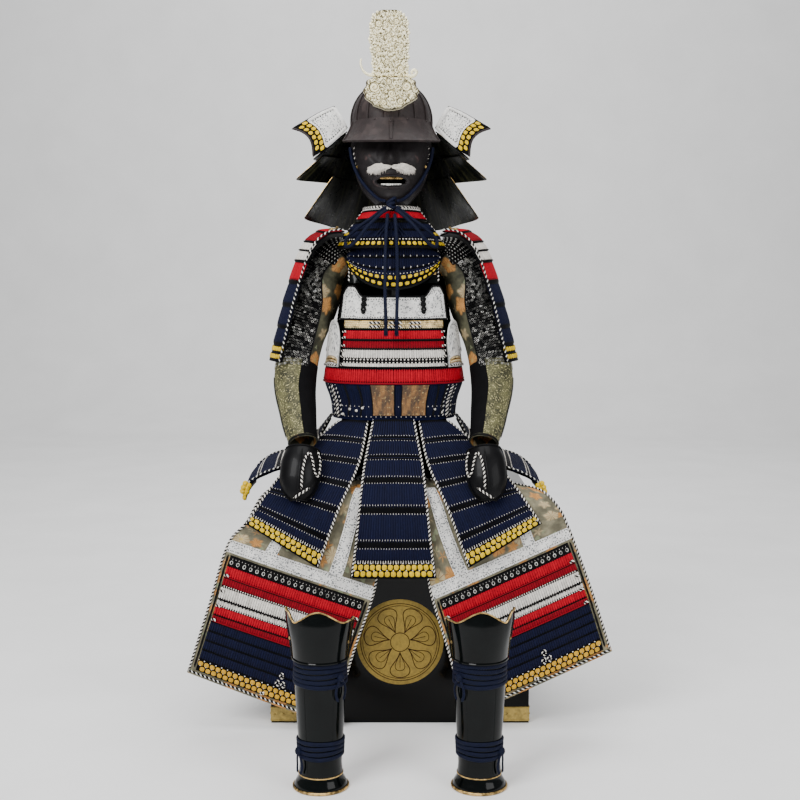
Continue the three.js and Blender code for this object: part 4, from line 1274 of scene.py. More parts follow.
def relief_slab(work, outline_left, outline_right, top, foot, front, depth, back, rows, columns, spirals):
    """A slab between two outlines with leaf work raised on its front."""
    z = np.linspace(top, foot, rows)
    left, right = outline_left(z), outline_right(z)
    u = steps(columns)
    x = left[:, None] + (right - left)[:, None] * u[None]
    z_grid = np.broadcast_to(z[:, None], x.shape)
    height = crest_relief(x, z_grid, spirals)
    side = np.minimum(x - left[:, None], right[:, None] - x)
    edge = smooth(np.minimum(side, np.minimum(top - z_grid, z_grid - foot) + 1.0), -0.5, 6.0)
    y = front + depth * (1 - height * (0.3 + 0.7 * edge))
    uv = np.stack([x, z_grid], axis=-1) / 1000
    work.sheet(stack(x, y, z_grid), uv, "crest_metal", tint=0.1 + 0.95 * height * edge)
    behind = stack(x, back - 1.5 * edge, z_grid)
    work.sheet(behind[:, ::-1], uv[:, ::-1], "crest_metal", tint=0.8 + 0 * x)
    rim = np.concatenate
    loop_front = rim(
        [
            stack(x, y, z_grid)[0, :], stack(x, y, z_grid)[1:, -1], stack(x, y, z_grid)[-1, -2::-1],
            stack(x, y, z_grid)[-2:0:-1, 0],
        ]
    )
    loop_back = rim([behind[0, :], behind[1:, -1], behind[-1, -2::-1], behind[-2:0:-1, 0]])
    strip = np.stack([loop_back, loop_front])
    strip = np.concatenate([strip, strip[:, :1]], axis=1)
    place = np.stack(np.meshgrid(lengths(strip[1]) / 1000, [0, 0.01]), axis=-1)
    work.sheet(strip, place, "crest_metal", tint=0.9)


def crest_blade():
    """The tall plate of the crest: close leaf work with rolled curls, a beaded edge and two tendrils."""
    work = Work(HEAD_SHIFT, seed=6)
    heights = [1628, 1625, 1619, 1610, 1598, 1560, 1520, 1478.5]
    lefts = [-20, -29, -37, -43, -46, -48, -42, -40]
    rights = [8, 19, 28, 34, 38, 40, 38, 37]

    def edge(values):
        return lambda z: np.interp(-z, -np.array(heights, float), values) + 1.4 * np.sin(z * 0.24)

    left, right = edge(lefts), edge(rights)
    spirals = [
        ((-27, 1597), 8.0, 1), ((12, 1602), 7.0, -1), ((-5, 1571), 6.5, 1), ((23, 1549), 6.0, -1),
        ((-29, 1541), 6.5, -1), ((-9, 1514), 6.5, 1), ((21, 1499), 7.5, 1),
    ]
    relief_slab(work, left, right, 1627.5, 1478.5, 17.5, 7.5, 28.5, 150, 88, spirals)
    for k in range(22):
        z = 1484 + 6.6 * k
        for at, hand in ((left(z), -1), (right(z), 1)):
            ball(
                work, (at - hand * 1.0, 23, z), 3.4 + 0.8 * math.sin(k * 2.3), "crest_metal", 1.0,
                (hand, -0.5, 0.1),
            )
    tendril = [(-40, 1484), (-50, 1485), (-60, 1491), (-66, 1501), (-68.5, 1512), (-66.5, 1521)]
    points = curve([(x, 22, z) for x, z in tendril])(steps(30))
    tube(work, points, np.linspace(3.8, 2.0, 30), "crest_metal", sides=8)
    ear = [(36, 1484), (44, 1481), (53, 1484), (57, 1491), (52, 1496), (46, 1492), (48, 1487)]
    points = curve([(x, 22, z) for x, z in ear])(steps(34))
    tube(work, points, np.linspace(4.6, 2.6, 34), "crest_metal", sides=8)
    return work.finished("crest_blade", 60)


def crest_base():
    """Its cloud-shaped foot."""
    work = Work(HEAD_SHIFT, seed=7)
    heights = [1478, 1470, 1460, 1446, 1434, 1424, 1416, 1410, 1405]
    lefts = [-40, -53, -57, -62, -58, -48, -38, -22, -12]
    rights = [40, 53, 57, 62, 58, 47, 30, 22, 4]

    def edge(values, sign):
        return lambda z: np.interp(-z, -np.array(heights, float), values) + sign * 1.5 * np.sin(z * 0.35)

    left, right = edge(lefts, 1), edge(rights, -1)
    spirals = [
        ((-37, 1455), 12.0, 1), ((35, 1457), 11.0, -1), ((1, 1441), 9.0, 1), ((-17, 1422), 7.5, -1),
        ((21, 1424), 8.0, 1), ((-5, 1467), 7.0, -1),
    ]
    relief_slab(work, left, right, 1477.8, 1406, 0.0, 9.5, 26, 80, 104, spirals)
    return work.finished("crest_base", 60)


def turnback(side):
    """The folded-back wing of the neck guard: stencilled leather, gold cells and a curled tip."""

    def right(u, v):
        u = np.asarray(u, float)
        return between(TURNBACK, 7)(u, np.asarray(v, float) * (1 - 0.16 * np.sin(math.pi * u)))

    name = HANDS[side]
    work = Work(HEAD_SHIFT, side, seed=8)
    wall(work, right, 20, even(30), BOARD, "board_lacquer")
    field = part_of(right, (0.055, 0.945), (0.02, 0.675))
    patch = moved(field, *np.meshgrid(steps(14), steps(20)), np.float64(0.5))
    across = np.stack(np.meshgrid(np.linspace(0, 0.055, 14), np.linspace(0, 0.09, 20)), axis=-1)
    work.sheet(patch, across, "leather")
    for u in (0.055, 0.945):
        laid(work, right, u, np.linspace(0.02, 0.675, 30), 0.3, 8.0, 3.0, "plain_leather")
    laid(work, right, np.linspace(0.055, 0.945, 20), 0.035, 0.3, 8.0, 3.0, "plain_leather")
    laid(work, right, np.linspace(0.055, 0.945, 20), 0.675, 0.3, 4.2, 1.6, "plain_leather")
    inner = part_of(right, (0.13, 0.87), (0.05, 0.63))
    for u, v in ((0.0, steps(24)), (1.0, steps(24)), (steps(20), 1.0)):
        sewn(work, inner, u, v, 0.7, 6.0, 3.4, 2.4, "black_silk")
    for v, offset in ((0.755, 0.5), (0.885, 0.05)):
        cells_row(work, right, v, 13.0, (10.0, 10.0), 0.4, offset=offset, margin=1)
    for v in (0.70, 0.925):
        laid(work, right, np.linspace(0.02, 0.98, 26), v, 0.2, 3.2, 1.8, "black_silk")
    laid(work, right, steps(26), 0.985, -1.0, 5.0, 4.0, "russet_iron")
    laid(work, right, 0.985, steps(26), 0.0, 3.4, 3.0, "lacquer")
    return work.finished(f"turnback_{name}")


def neck_lame(i):
    """One lame of the neck guard: lacquer with painted reflections inside, laced outside."""
    form = neck_form(NECK_LAMES[i])
    work = Work(HEAD_SHIFT, seed=20 + i)
    wall(work, form, 90, even(10), IRON, "board_lacquer", back="streaked_lacquer")
    outer = part_of(form, (0.10, 0.90), (0.0, 1.0))
    row(
        work, outer, (0.05, 0.62 if i == 2 else 0.93), bpy.context.scene.armour_lacing.cord_pitch, 1.3,
        "navy_silk",
    )
    if i == 2:
        cells_row(work, outer, 0.715, CELL_PITCH, (11.0, 10.0), 0.2)
        cells_row(work, outer, 0.875, CELL_PITCH, (11.0, 10.0), 0.2, offset=0.0)
        # The white beads at the foot of the navy lacing are painted highlights on the lacquered board edge.
        ticks(work, outer, 0.64, 6.8, 0.2)
    else:
        # The white beads at the foot of the navy lacing are painted highlights on the lacquered board edge.
        ticks(work, outer, 0.9, 6.8, 1.0)
    laid(work, form, steps(110), 0.99, -IRON / 2 - 1.2, 2.6, 3.6, "bronze_gilt")
    for u in (0.006, 0.994):
        laid(work, form, u, steps(16), -IRON / 2 - 1.2, 2.6, 3.4, "bronze_gilt")
    return work.finished(f"neck_lame_{i + 1}")


# ---------------------------------------------------------------- mask, throat guard and chin cord


MOUTH_Z = 1252.5


def face_mask():
    """The iron mask: cheeks, nose, an open mouth, wrinkles beaten in, and a braid round its edge."""
    work = Work(HEAD_SHIFT, seed=9)
    rows, columns = 74, 92
    u, v = np.meshgrid(steps(columns), steps(rows))
    point = mask_form(u, v)
    x, z = point[..., 0], point[..., 2]
    crease = np.zeros_like(x)
    for sign in (-1, 1):
        for at_x, at_z, slope, long in (
            (38, 1296, -0.9, 20),
            (52, 1284, -1.4, 22),
            (30, 1254, -1.9, 14),
            (64, 1262, -2.2, 16),
            (26, 1322, 0.25, 15),
        ):
            along = (sign * x - at_x) + slope * (z - at_z)
            across = (z - at_z) - slope * (sign * x - at_x)
            size = math.hypot(1, slope)
            crease += 2.6 * np.exp(-((along / size / 3.2) ** 2) - (across / size / long) ** 2)
    nostril = sum(3.2 * np.exp(-(((x - s * 8) / 4) ** 2) - ((z - 1293) / 4) ** 2) for s in (-1, 1))
    lips = 4.0 * np.exp(-((np.hypot(x / 40, (z - MOUTH_Z) / 16) - 1.0) / 0.13) ** 2)
    point[..., 1] += crease + nostril - lips
    mouth = np.hypot(x / 35, (z - MOUTH_Z) / 12.5)
    index = np.arange(rows * columns).reshape(rows, columns)
    worn = 0.85 + 0.35 * np.clip(
        lips / 4 + np.exp(-((np.abs(x) - 55) / 16) ** 2 - ((z - 1308) / 14) ** 2), 0, 1,
    )
    outer = point
    across = outward(mask_form, u, v)
    inner = point - across * IRON
    keep = mouth[:-1, :-1] + mouth[1:, 1:] > 2.0
    uv = np.stack([u * 0.2, v * 0.146], axis=-1)
    for grid, flip in ((outer, False), (inner, True)):
        first = work.corners(grid, worn)
        quads = grid_quads((index + first)[None])[keep.ravel()]
        corners = uv.reshape(-1, 2)[grid_quads(index[None])[keep.ravel()]]
        if flip:
            quads, corners = quads[:, ::-1], corners[:, ::-1]
        work.faces.append(quads)
        work.uvs.append(corners)
        work.kinds.append(np.full(len(quads), work.kind("mask_iron")))
    turn = np.linspace(0, 2 * math.pi, 61)
    mouth_x, mouth_z = 35.5 * np.cos(turn), MOUTH_Z + 13 * np.sin(turn)
    width = at_height(MASK_SECTIONS, mouth_z, 0)
    laid(
        work, mask_form, *on_mask(np.degrees(np.arcsin(np.clip(mouth_x / width, -1, 1))), mouth_z), -0.6,
        4.6, 5.4, "mask_iron", taper=False,
    )
    for u_edge in (0.006, 0.994):
        laid(work, mask_form, u_edge, steps(40), -1.4, 3.6, 3.6, "mask_iron")
    for v_edge in (0.006, 0.994):
        laid(work, mask_form, steps(60), v_edge, -1.4, 3.6, 3.6, "mask_iron")
    # Speckled braid bits along the jaw, where the throat guard is laced on.
    for sign in (-1, 1):
        for degrees, z_at in ((66, 1262), (58, 1244), (47, 1228), (34, 1214)):
            here = np.linspace(-4.2, 4.2, 7)
            laid(
                work, mask_form, *on_mask(sign * (degrees + here * 0.7), z_at + here), 0.3, 4.2, 2.6,
                "edge_braid",
            )
        for z_at in (1335, 1322, 1312, 1298, 1286):
            here = np.linspace(-3.6, 3.6, 7)
            laid(
                work, mask_form, *on_mask(sign * (66 + (z_at % 3)), z_at + here), 0.2, 3.4, 2.4,
                "edge_braid",
            )
        stud(work, mask_form, *on_mask(sign * 64, 1290), 0.0, 3.4, "bronze_gilt", 1.2)
    return work.finished("face_mask", 60)


def teeth(name, top, foot, finish):
    """A row of teeth a little behind the mask, seen through its mouth."""

    def form(u, v):
        return mask_point(lerp(-22, 22, np.asarray(u, float)), lerp(top, foot, np.asarray(v, float)))

    work = Work(HEAD_SHIFT, seed=11)
    wall(work, form, 14, even(2), 1.6, finish, lift=-5.6)
    row(
        work, form, (0.02, 0.98), 5.6, 2.0, finish, share=0.94, lift=(-5.6, -5.6), shape=(2.4, 3.0),
        cells=(5, 5),
    )
    return work.build(name, [name], sharp=50)


def moustache():
    """Two combed tufts of hair under the nose."""
    work = Work(HEAD_SHIFT, seed=12)
    random = work.random
    strands = 2000
    side = np.where(random.random(strands) < 0.5, -1.0, 1.0)
    root = side * (1 + 27 * random.random(strands) ** 0.9)
    drop = random.random(strands)
    rise = np.clip(1 - np.abs(np.abs(root) - 14) / 24, 0.12, 1)
    z_root = 1286 + 7 * rise * (1 - drop) - 9 * rise * drop - 2.5 * np.abs(root) / 20
    reach = side * random.uniform(5, 13, strands)
    share = steps(5)[:, None]
    degrees = root + reach * share
    z = z_root + share * (2.0 - 5 * drop) - 5.5 * share**2 * random.uniform(0.5, 1.4, strands)
    z += random.normal(0, 0.5, strands)
    lift = 1.5 + 9.5 * rise * np.sin(math.pi * (0.18 + 0.72 * share)) * random.uniform(0.75, 1.1, strands)
    spots, away = flat_path(mask_form, *on_mask(degrees, z), 0.0)
    spots = spots + away * lift[..., None]
    spots = np.swapaxes(spots, 0, 1)
    along = unit(np.gradient(spots, axis=1))
    side_way = unit(np.cross(along, np.swapaxes(away, 0, 1)))
    width = (random.uniform(0.5, 0.95, strands)[:, None] * np.array([0.9, 1, 1, 0.8, 0.15]))[..., None]
    up = np.cross(side_way, along)
    grid = np.stack([spots - side_way * width, spots + up * width * 0.7, spots + side_way * width], axis=2)
    uv = np.zeros(grid.shape[:3] + (2,))
    uv[..., 0] = random.random(strands)[:, None, None]
    uv[..., 1] = np.linspace(0, 0.02, 5)[None, :, None]
    tone = random.uniform(0.8, 1.1, strands)[:, None, None] + np.zeros(grid.shape[:3])
    work.patches(grid, uv, "white_hair", tint=tone)

    def pad(u, v):
        u, v = np.asarray(u, float), np.asarray(v, float)
        degrees = lerp(-37, 37, u)
        rise = 0.15 + 0.85 * np.clip(1 - (np.abs(np.abs(degrees) - 19) / 19) ** 2, 0, 1)
        z = 1284 - 4 * np.abs(degrees) / 37 + 16 * rise * (0.5 - v)
        point = mask_form(*on_mask(degrees, z))
        point[..., 1] -= 1.2 + 4.5 * rise * np.sin(math.pi * np.clip(v, 0.02, 0.98))
        return point

    wall(work, pad, 40, even(8), 1.0, "white_hair")
    return work.finished("moustache", 80)


def throat_lame(upper):
    """A laced lame of the throat guard; the lower one carries yellow cells and fanned cords."""
    name = "throat_lame_upper" if upper else "throat_lame_lower"
    edges = [0, 13, 34] if upper else [0, 18, 38, 60]
    form = throat_form(1200, 1166, 80) if upper else throat_form(1160, 1100, 78)
    work = Work(HEAD_SHIFT, seed=13)
    if upper:
        laced_boards(work, form, 40, edges, ["white_silk", "red_silk"], 2.5)
        for ends in ((0.0, 0.42), (0.58, 1.0)):
            twisted(work, form, 0.2, 2.0, 6.0, ends)
    else:
        laced_boards(work, form, 44, edges, ["navy_silk", "navy_silk", None], 2.5)
        cells_row(work, form, 0.82, 13.6, (9.4, 9.6), 1.6)
        # The white beads at the foot of the navy rows are painted highlights on the lacquered board edge.
        ticks(work, form, 0.665, 7.6, 2.2, size=(3.6, 3.6))
        for start, end in ((0.0, 0.1), (0.9, 1.0)):
            cells_row(work, part_of(form, (start, end), (0, 1)), 0.45, 11, (9, 9), 2.2)
        # The cords that hold the guard fan out from under the knot.
        for u in (0.43, 0.45, 0.47, 0.5, 0.53, 0.55, 0.57):
            laid(
                work, form, 0.5 + (u - 0.5) * np.linspace(0.5, 1.7, 14), np.linspace(0.02, 0.6, 14), 3.4,
                3.4, 2.6, "navy_cord", sides=6,
            )
    side_braids(work, form, lift=0.6, width=4.5, height=3)
    level_braid(work, form, 0.985, "black_silk", 1.6, 4.0, 3.0)
    return work.finished(name)


def bib():
    """The laced plate that hangs from the throat guard over the chest."""
    work = Work(TORSO_SHIFT, seed=14)
    laced_boards(
        work, bib_form, 40, [0, 30, 56, 80, 100], ["navy_silk", "navy_silk", "navy_silk", None], 2.5,
    )
    # The white beads at the board edges are painted highlights on the lacquer between the cords.
    for v in (0.27, 0.53):
        ticks(work, bib_form, v, 15.0, 3.0, size=(1.8, 5.5))
    ticks(work, bib_form, 0.655, 7.8, 3.0, size=(2.6, 2.8))
    cells_row(work, bib_form, 0.74, 15.6, (10.6, 9.4), 2.4)
    cells_row(work, bib_form, 0.885, 15.6, (10.6, 9.4), 2.4, offset=0.0)
    level_braid(work, bib_form, 0.985, "black_silk", 1.6, 5.0, 3.4)
    return work.finished("bib")


def placed(points, shift, side=1):
    """Points of a piece in the part's own frame, in metres."""
    return (np.asarray(points, float) * [side, 1, 1] + [shift, 0, 0] + SHIFT) / 1000


KNOT = (0, 44, 1202)
JAW_ROUTE = [(76, 1338), (70, 1306), (60, 1272), (47, 1240), (30, 1216)]
LOOP_ROUTE = [
    (10.5, 36, 1195), (40, 42, 1172), (74, 47, 1148), (104, 60, 1120), (103, 50, 1104), (84, 34, 1112),
    (52, 25, 1150), (20, 30, 1180), (9, 31, 1187),
]
TAIL_ROUTE = [(8, 30, 1178), (11, 18, 1140), (13, 10, 1090), (14, 9, 1010), (12, 9, 925)]


def free_cord(name, points, side):
    """A run of the chin cord, made as a tube along its own centre line."""
    work = Work(HEAD_SHIFT, side, seed=15)
    tube(work, points, 4.0, "navy_cord", sides=14)
    piece = work.finished(name, 70)
    path = placed(points, HEAD_SHIFT, side)
    return piece


def chin_cord():
    """The chin cord: jaw runs, knot, two bow loops and two tufted tails."""
    jaw = moved(mask_form, *on_mask(*np.array(JAW_ROUTE, float).T), np.full(5, 6.5))
    jaw = np.vstack([jaw, (13, 41, 1206)])
    for side, name in ((1, "right"), (-1, "left")):
        share = steps(60)
        free_cord(f"chin_cord_jaw_{name}", curve(jaw)(share), side)
        free_cord(f"chin_cord_loop_{name}", curve(LOOP_ROUTE)(share), side)
        tail = curve(TAIL_ROUTE)(share)
        tuft = Work(HEAD_SHIFT, side, seed=16)
        foot = tail[-1]
        for k in range(70):
            turn = 2.4 * k
            reach = 3.4 * math.sqrt((k + 0.5) / 70)
            drop = steps(5)[:, None]
            long = 26 + 4 * math.sin(k * 1.7)
            offset = np.array([math.cos(turn), math.sin(turn), 0]) * reach
            points = foot + offset * (0.8 + 0.7 * drop) + np.array([0, 0, 1.0]) * (10 - (long + 6) * drop)
            tube(
                tuft, points, np.array([0.75, 0.75, 0.7, 0.6, 0.3]), "navy_cord", sides=4, closed_ends=False,
            )
        for lift in (2, 5, 8):
            turn = np.linspace(0, 2 * math.pi, 17)
            ring = foot + np.stack([4.6 * np.cos(turn), 4.6 * np.sin(turn), lift + 0 * turn], axis=-1)
            tube(tuft, ring, 1.3, "navy_cord", sides=6, closed_ends=False)
        end = tuft.build(f"cord_tuft_{name}", sharp=70, weld=False)
        free_cord(f"chin_cord_tail_{name}", tail, side)
    work = Work(HEAD_SHIFT, seed=17)
    for k, tilt in enumerate((-0.5, -0.1, 0.35)):
        turn = np.linspace(0, 2 * math.pi, 25)
        size = (8.2, 6.4, 8.6)[k]
        ring = np.stack([size * np.cos(turn), 5.2 * np.sin(turn), 3.0 * np.sin(turn + k)], axis=-1)
        ring[:, 2] += size * math.sin(tilt) * np.cos(turn) + (k - 1) * 5.6
        tube(work, np.array(KNOT) + ring, 3.9, "navy_cord", sides=10, closed_ends=False)
    ball(work, KNOT, 7.6, "navy_cord", 1.0)
    ball(work, KNOT, 7.6, "navy_cord", 1.0, (0, 1, 0))
    return work.finished("chin_cord_knot", 70)


# ---------------------------------------------------------------- cuirass


def breast_form(u, v):
    return torso_form(-52, 52, breast_top, 936.4, 3)(u, v)


def breast_plate():
    """Stencilled leather with dotted seams, a gilt strip, two toggles and a notched foot."""
    work = Work(TORSO_SHIFT, seed=30)
    wall(work, breast_form, 90, even(12), BOARD, "leather", back="board_lacquer")
    for v, width in ((0.008, 4.5), (0.985, 5.0)):
        level_braid(work, breast_form, v, "black_silk", -0.6, width, 3.2, (0.01, 0.99), 120)
    for u in (0.012, 0.988):
        laid(work, breast_form, u, np.linspace(0.02, 0.98, 30), -0.4, 4.0, 2.8, "black_silk")
        sewn(work, breast_form, 0.06 if u < 0.5 else 0.94, np.linspace(0.1, 0.9, 34), 0.1, *SEAM_STITCH)
    for v in (0.13, 0.90):
        sewn(work, breast_form, np.linspace(0.05, 0.95, 120), v, 0.1, *SEAM_STITCH)
    for u in (0.27, 0.73):
        top = steps(24)
        bow = 0.018 * np.sin(top * 2 * math.pi * 1.5)
        laid(work, breast_form, u + bow, lerp(0.03, 0.66, top), 0.6, 5.6, 4.6, "black_cord")
        laid(work, breast_form, u - bow, lerp(0.03, 0.66, top), 0.8, 5.0, 4.2, "black_cord")
        for v in (0.05, 0.36, 0.66):
            stud(work, breast_form, u, v, 2.0, 5.6, "black_cord", 0.8)
    return work.finished("breast_plate")


BREAST_EDGES = [935.9, 914, 889, 869.5, 846, 837, 825.5]


def cuirass_front():
    """The laced belly of the cuirass: red, crimson and white rows with slanted dashes."""
    form = torso_form(-45, 45, 935.9, 825.5, 1)
    work = Work(TORSO_SHIFT, seed=31)
    drop = [BREAST_EDGES[0] - z for z in BREAST_EDGES]
    colours = [None, "red_silk", "crimson_silk", "white_silk", "black_silk", "white_silk"]
    laced_boards(work, form, 60, drop, colours, 2, pitch=5.6)
    marks = shares(drop)
    strip = part_of(form, (0.0, 1.0), (0.01, marks[1] * 0.94))
    wall(work, strip, 60, even(3), 0.6, "bronze_gilt", lift=1.6)
    for k, v in enumerate((0.16, 0.39, 0.61, 0.84)):
        ends = (v - 0.11, v + 0.11)
        row(
            work, strip, ends, 4.6, 1.5, "pale_gilt", lift=(1.5, 1.5), shape=(2, 2),
            offset=0.5 + 0.5 * (k % 2),
        )
    for ends in ((0.30, 0.40), (0.47, 0.56), (0.62, 0.73)):
        for v in (0.28, 0.72):
            twisted(work, strip, v, 2.2, 6.0, ends)
    level_braid(work, form, marks[2] - 0.015, "black_silk", 2.0, 3.6, 2.0)
    ticks(work, form, marks[2] - 0.015, 5.6, 3.2, "crimson_silk", (2.6, 3.0))
    level_braid(work, form, marks[3], "black_silk", 1.8, 2.6, 2.0)
    # White teeth bite into the black row from above and below.
    for v in (marks[4] + 0.012, marks[5] - 0.004):
        ticks(work, form, v, 8.4, 2.6, "white_silk", (3.8, 4.0))
    level_braid(work, form, 0.985, "black_silk", 1.6, 2.6, 2.2)
    for ends in ((0.0, 0.045), (0.955, 1.0)):
        for v in (
            marks[1] + 0.05, marks[2] - 0.05, marks[3] - 0.06, marks[3] + 0.05, marks[4] - 0.05,
            marks[5] + 0.05,
        ):
            twisted(work, form, v, 3.0, 5.0, ends)
    return work.finished("cuirass_front")


def cuirass_back():
    """The back of the cuirass: a leather shoulder plate and five laced boards."""
    form = torso_form(118, 242, back_top, 825.5)
    work = Work(TORSO_SHIFT, seed=32)
    colours = ["leather", "navy_silk", "navy_silk", "navy_silk", "navy_silk", "navy_silk"]
    edges = [0, 46, 90, 132, 174, 216, 260]
    wall(work, form, 60, board_stops(edges, 2), BOARD, "board_lacquer")
    marks = shares(edges)
    plate = part_of(form, (0.0, 1.0), (0.0, marks[1]))
    wall(work, plate, 60, even(4), 0.6, "leather", lift=1.6)
    for top, foot, colour in list(zip(marks, marks[1:], colours))[1:]:
        row(work, form, (lerp(top, foot, 0.03), lerp(top, foot, 0.97)), 5.6, 1.3, colour, lift=(0, 2))
        # The white beads at each board's foot are painted highlights on the lacquered edge.
        ticks(work, form, foot, 8.4, 3.0)
    for v in (0.01, marks[1]):
        level_braid(work, form, v, "black_silk", 1.2, 4.5, 3.0, samples=64)
    sewn(work, form, np.linspace(0.03, 0.97, 90), marks[1] * 0.84, 1.8, *SEAM_STITCH)
    side_braids(work, form, lift=1.0)
    # The ring on the back that a small banner or bow would hang from.
    spot, away = flat_path(form, 0.5, 0.3, 3.0)
    turn = np.linspace(0, 2 * math.pi, 25)
    ring = spot + np.stack([11 * np.cos(turn), 2.0 + 0 * turn, 11 * np.sin(turn) - 9], axis=-1)
    tube(work, ring, 1.8, "bronze_gilt", sides=8, closed_ends=False)
    ball(work, spot, 6.5, "bronze_gilt", 0.7, away)
    return work.finished("cuirass_back")


def cuirass_hoop():
    """The lowest hoop, laced all round."""
    form = torso_form(-180, 180, 824.8, 788)
    work = Work(TORSO_SHIFT, seed=33)
    wall(work, form, 120, [(0, 0), (0.94, 2.9), (1.0, 3.0)], BOARD, "board_lacquer", wrapped=True)
    row(work, form, (0.03, 0.93), 5.6, 1.3, "red_silk", lift=(0, 3))
    level_braid(work, form, 0.965, "crimson_silk", 2.6, 4.0, 2.6, samples=120)
    ticks(work, form, 0.80, 5.6, 3.6, "crimson_silk", (2.6, 3.4))
    return work.finished("cuirass_hoop")


def creased(form, depth, seeds, reach=0.05):
    """Cloth on a form with soft troughs and ridges: (u, v, lean, length, height) each."""

    def crease(u, v):
        u, v = paired(u, v)
        height = np.zeros(u.shape)
        for at_u, at_v, lean, long, tall in seeds:
            du = (u - at_u + 0.5) % 1 - 0.5
            dv = v - at_v
            along = dv + lean * du
            across = du - lean * dv * 0.4
            height = height + tall * np.exp(-((across / reach) ** 2) - (along / long) ** 2)
        return moved(form, u, v, depth * height)

    return crease


def waist_cloth():
    """The laced cloth between the cuirass and the skirt, with two brocade patches on it."""
    waist = torso_form(-180, 180, 787.4, 702, -1)

    def base(u, v):
        widen = 1.005 + 0.02 * np.asarray(v, float)
        points = waist(u, v)
        points[..., 0] = points[..., 0] * widen
        return points

    seeds = [
        (0.08 + 0.115 * k, 0.5 + 0.1 * math.sin(k * 2.1), 0.15 * math.sin(k), 0.3, (-1) ** k)
        for k in range(8)
    ]
    form = creased(base, 0.8, seeds)
    cloth = Work(TORSO_SHIFT, seed=34)
    wall(cloth, form, 120, even(10), CLOTH, "navy_cloth", wrapped=True)
    piece = cloth.build("waist_cloth", ["waist_lacing"], sharp=60)
    work = Work(TORSO_SHIFT, seed=35)
    row(work, form, (0.02, 0.96), 5.8, 1.4, "navy_silk", lift=(0.0, 0.2), cells=(4, 7))
    for start, end in ((0.456, 0.501), (0.514, 0.574)):
        patch = part_of(form, (start, end), (0.02, 0.86))
        wall(work, patch, 14, even(14), 0.5, "rust_brocade", lift=2.2)
        for u in (0.0, 1.0):
            laid(work, patch, u, steps(16), 1.8, 2.2, 1.8, "black_silk")
    for u in (0.335, 0.652, 0.16, 0.84):
        laid(work, form, u, np.linspace(0.02, 0.95, 24), 1.0, 11.0, 2.6, "edge_braid")
        for shift in (-0.018, 0.018):
            laid(work, form, u + shift, np.linspace(0.02, 0.95, 24), 1.0, 4.0, 2.4, "dark_braid")
    for u in (0.385, 0.425, 0.60, 0.625):
        laid(
            work, form, u + 0.004 * np.sin(np.linspace(0, 4, 24)), np.linspace(0.02, 0.9, 24), 1.2, 4.6, 3.0,
            "black_cord",
        )
    for v in (0.62, 0.90):
        ticks(work, form, v, 11.6, 1.4, "white_silk", (1.8, 3.4))
    knots = ((0.388, 0.7), (0.41, 0.74), (0.428, 0.66), (0.602, 0.7), (0.628, 0.8), (0.36, 0.86))
    for u, v in knots:
        stud(work, form, u, v, 2.0, 3.6, "white_silk", 0.8)
    lace = work.build("waist_lacing", sharp=50, weld=False)
    return piece


def side_flap(side):
    """The leather-faced side of the cuirass under the arm, with an arched edge."""
    form = torso_form(50, 114, flap_top, 825.5, 1)
    work = Work(TORSO_SHIFT, side, seed=36)
    wall(work, form, 60, even(14), BOARD, "leather", back="board_lacquer")
    level_braid(work, form, 0.008, "plain_leather", -0.8, 5.0, 3.4, (0.005, 0.995), 140)
    sewn(work, form, np.linspace(0.03, 0.97, 150), 0.085, 0.1, *SEAM_STITCH)
    front = np.linspace(0.04, 0.42, 50)
    laid(work, form, front, 0.36 + 0.25 * ((front - 0.22) / 0.19) ** 2, 0.3, 5.0, 2.6, "plain_leather")
    strip = part_of(form, (0.02, 0.98), (0.76, 0.9))
    wall(work, strip, 50, even(3), 0.6, "bronze_gilt", lift=1.0)
    for k, v in enumerate((0.25, 0.75)):
        row(
            work, strip, (v - 0.2, v + 0.2), 4.4, 1.4, "pale_gilt", lift=(0.9, 0.9), shape=(2, 2),
            offset=0.5 + 0.5 * (k % 2),
        )
    twisted(work, form, 0.95, 0.8, 5.5)
    return work.finished(f"side_flap_{HANDS[side]}")


def shoulder_strap(side):
    """The strap from the back to the breast, with braid edges and a buckle."""
    form = between(STRAP, 3)
    work = Work(TORSO_SHIFT, side, seed=37)
    wall(work, form, 14, even(40), BOARD, "lacquer")
    for u in (0.06, 0.94):
        laid(work, form, u, np.linspace(0.01, 0.99, 50), -0.2, 4.0, 3.0, "edge_braid")
    for v in (0.80, 0.90, 0.12):
        laid(work, form, np.linspace(0.18, 0.82, 12), v, 0.0, 9.0, 3.6, "gilt")
    buckle = np.array([(0.28, 0.80), (0.72, 0.80), (0.72, 0.91), (0.28, 0.91), (0.28, 0.80)])
    points = np.array([lerp(a, b, s) for a, b in zip(buckle, buckle[1:]) for s in steps(6)[:-1]])
    laid(work, form, points[:, 0], points[:, 1], 2.4, 3.6, 3.4, "gilt", taper=False)
    return work.finished(f"shoulder_strap_{HANDS[side]}")


# ---------------------------------------------------------------- sleeves, hand and shoulder guards

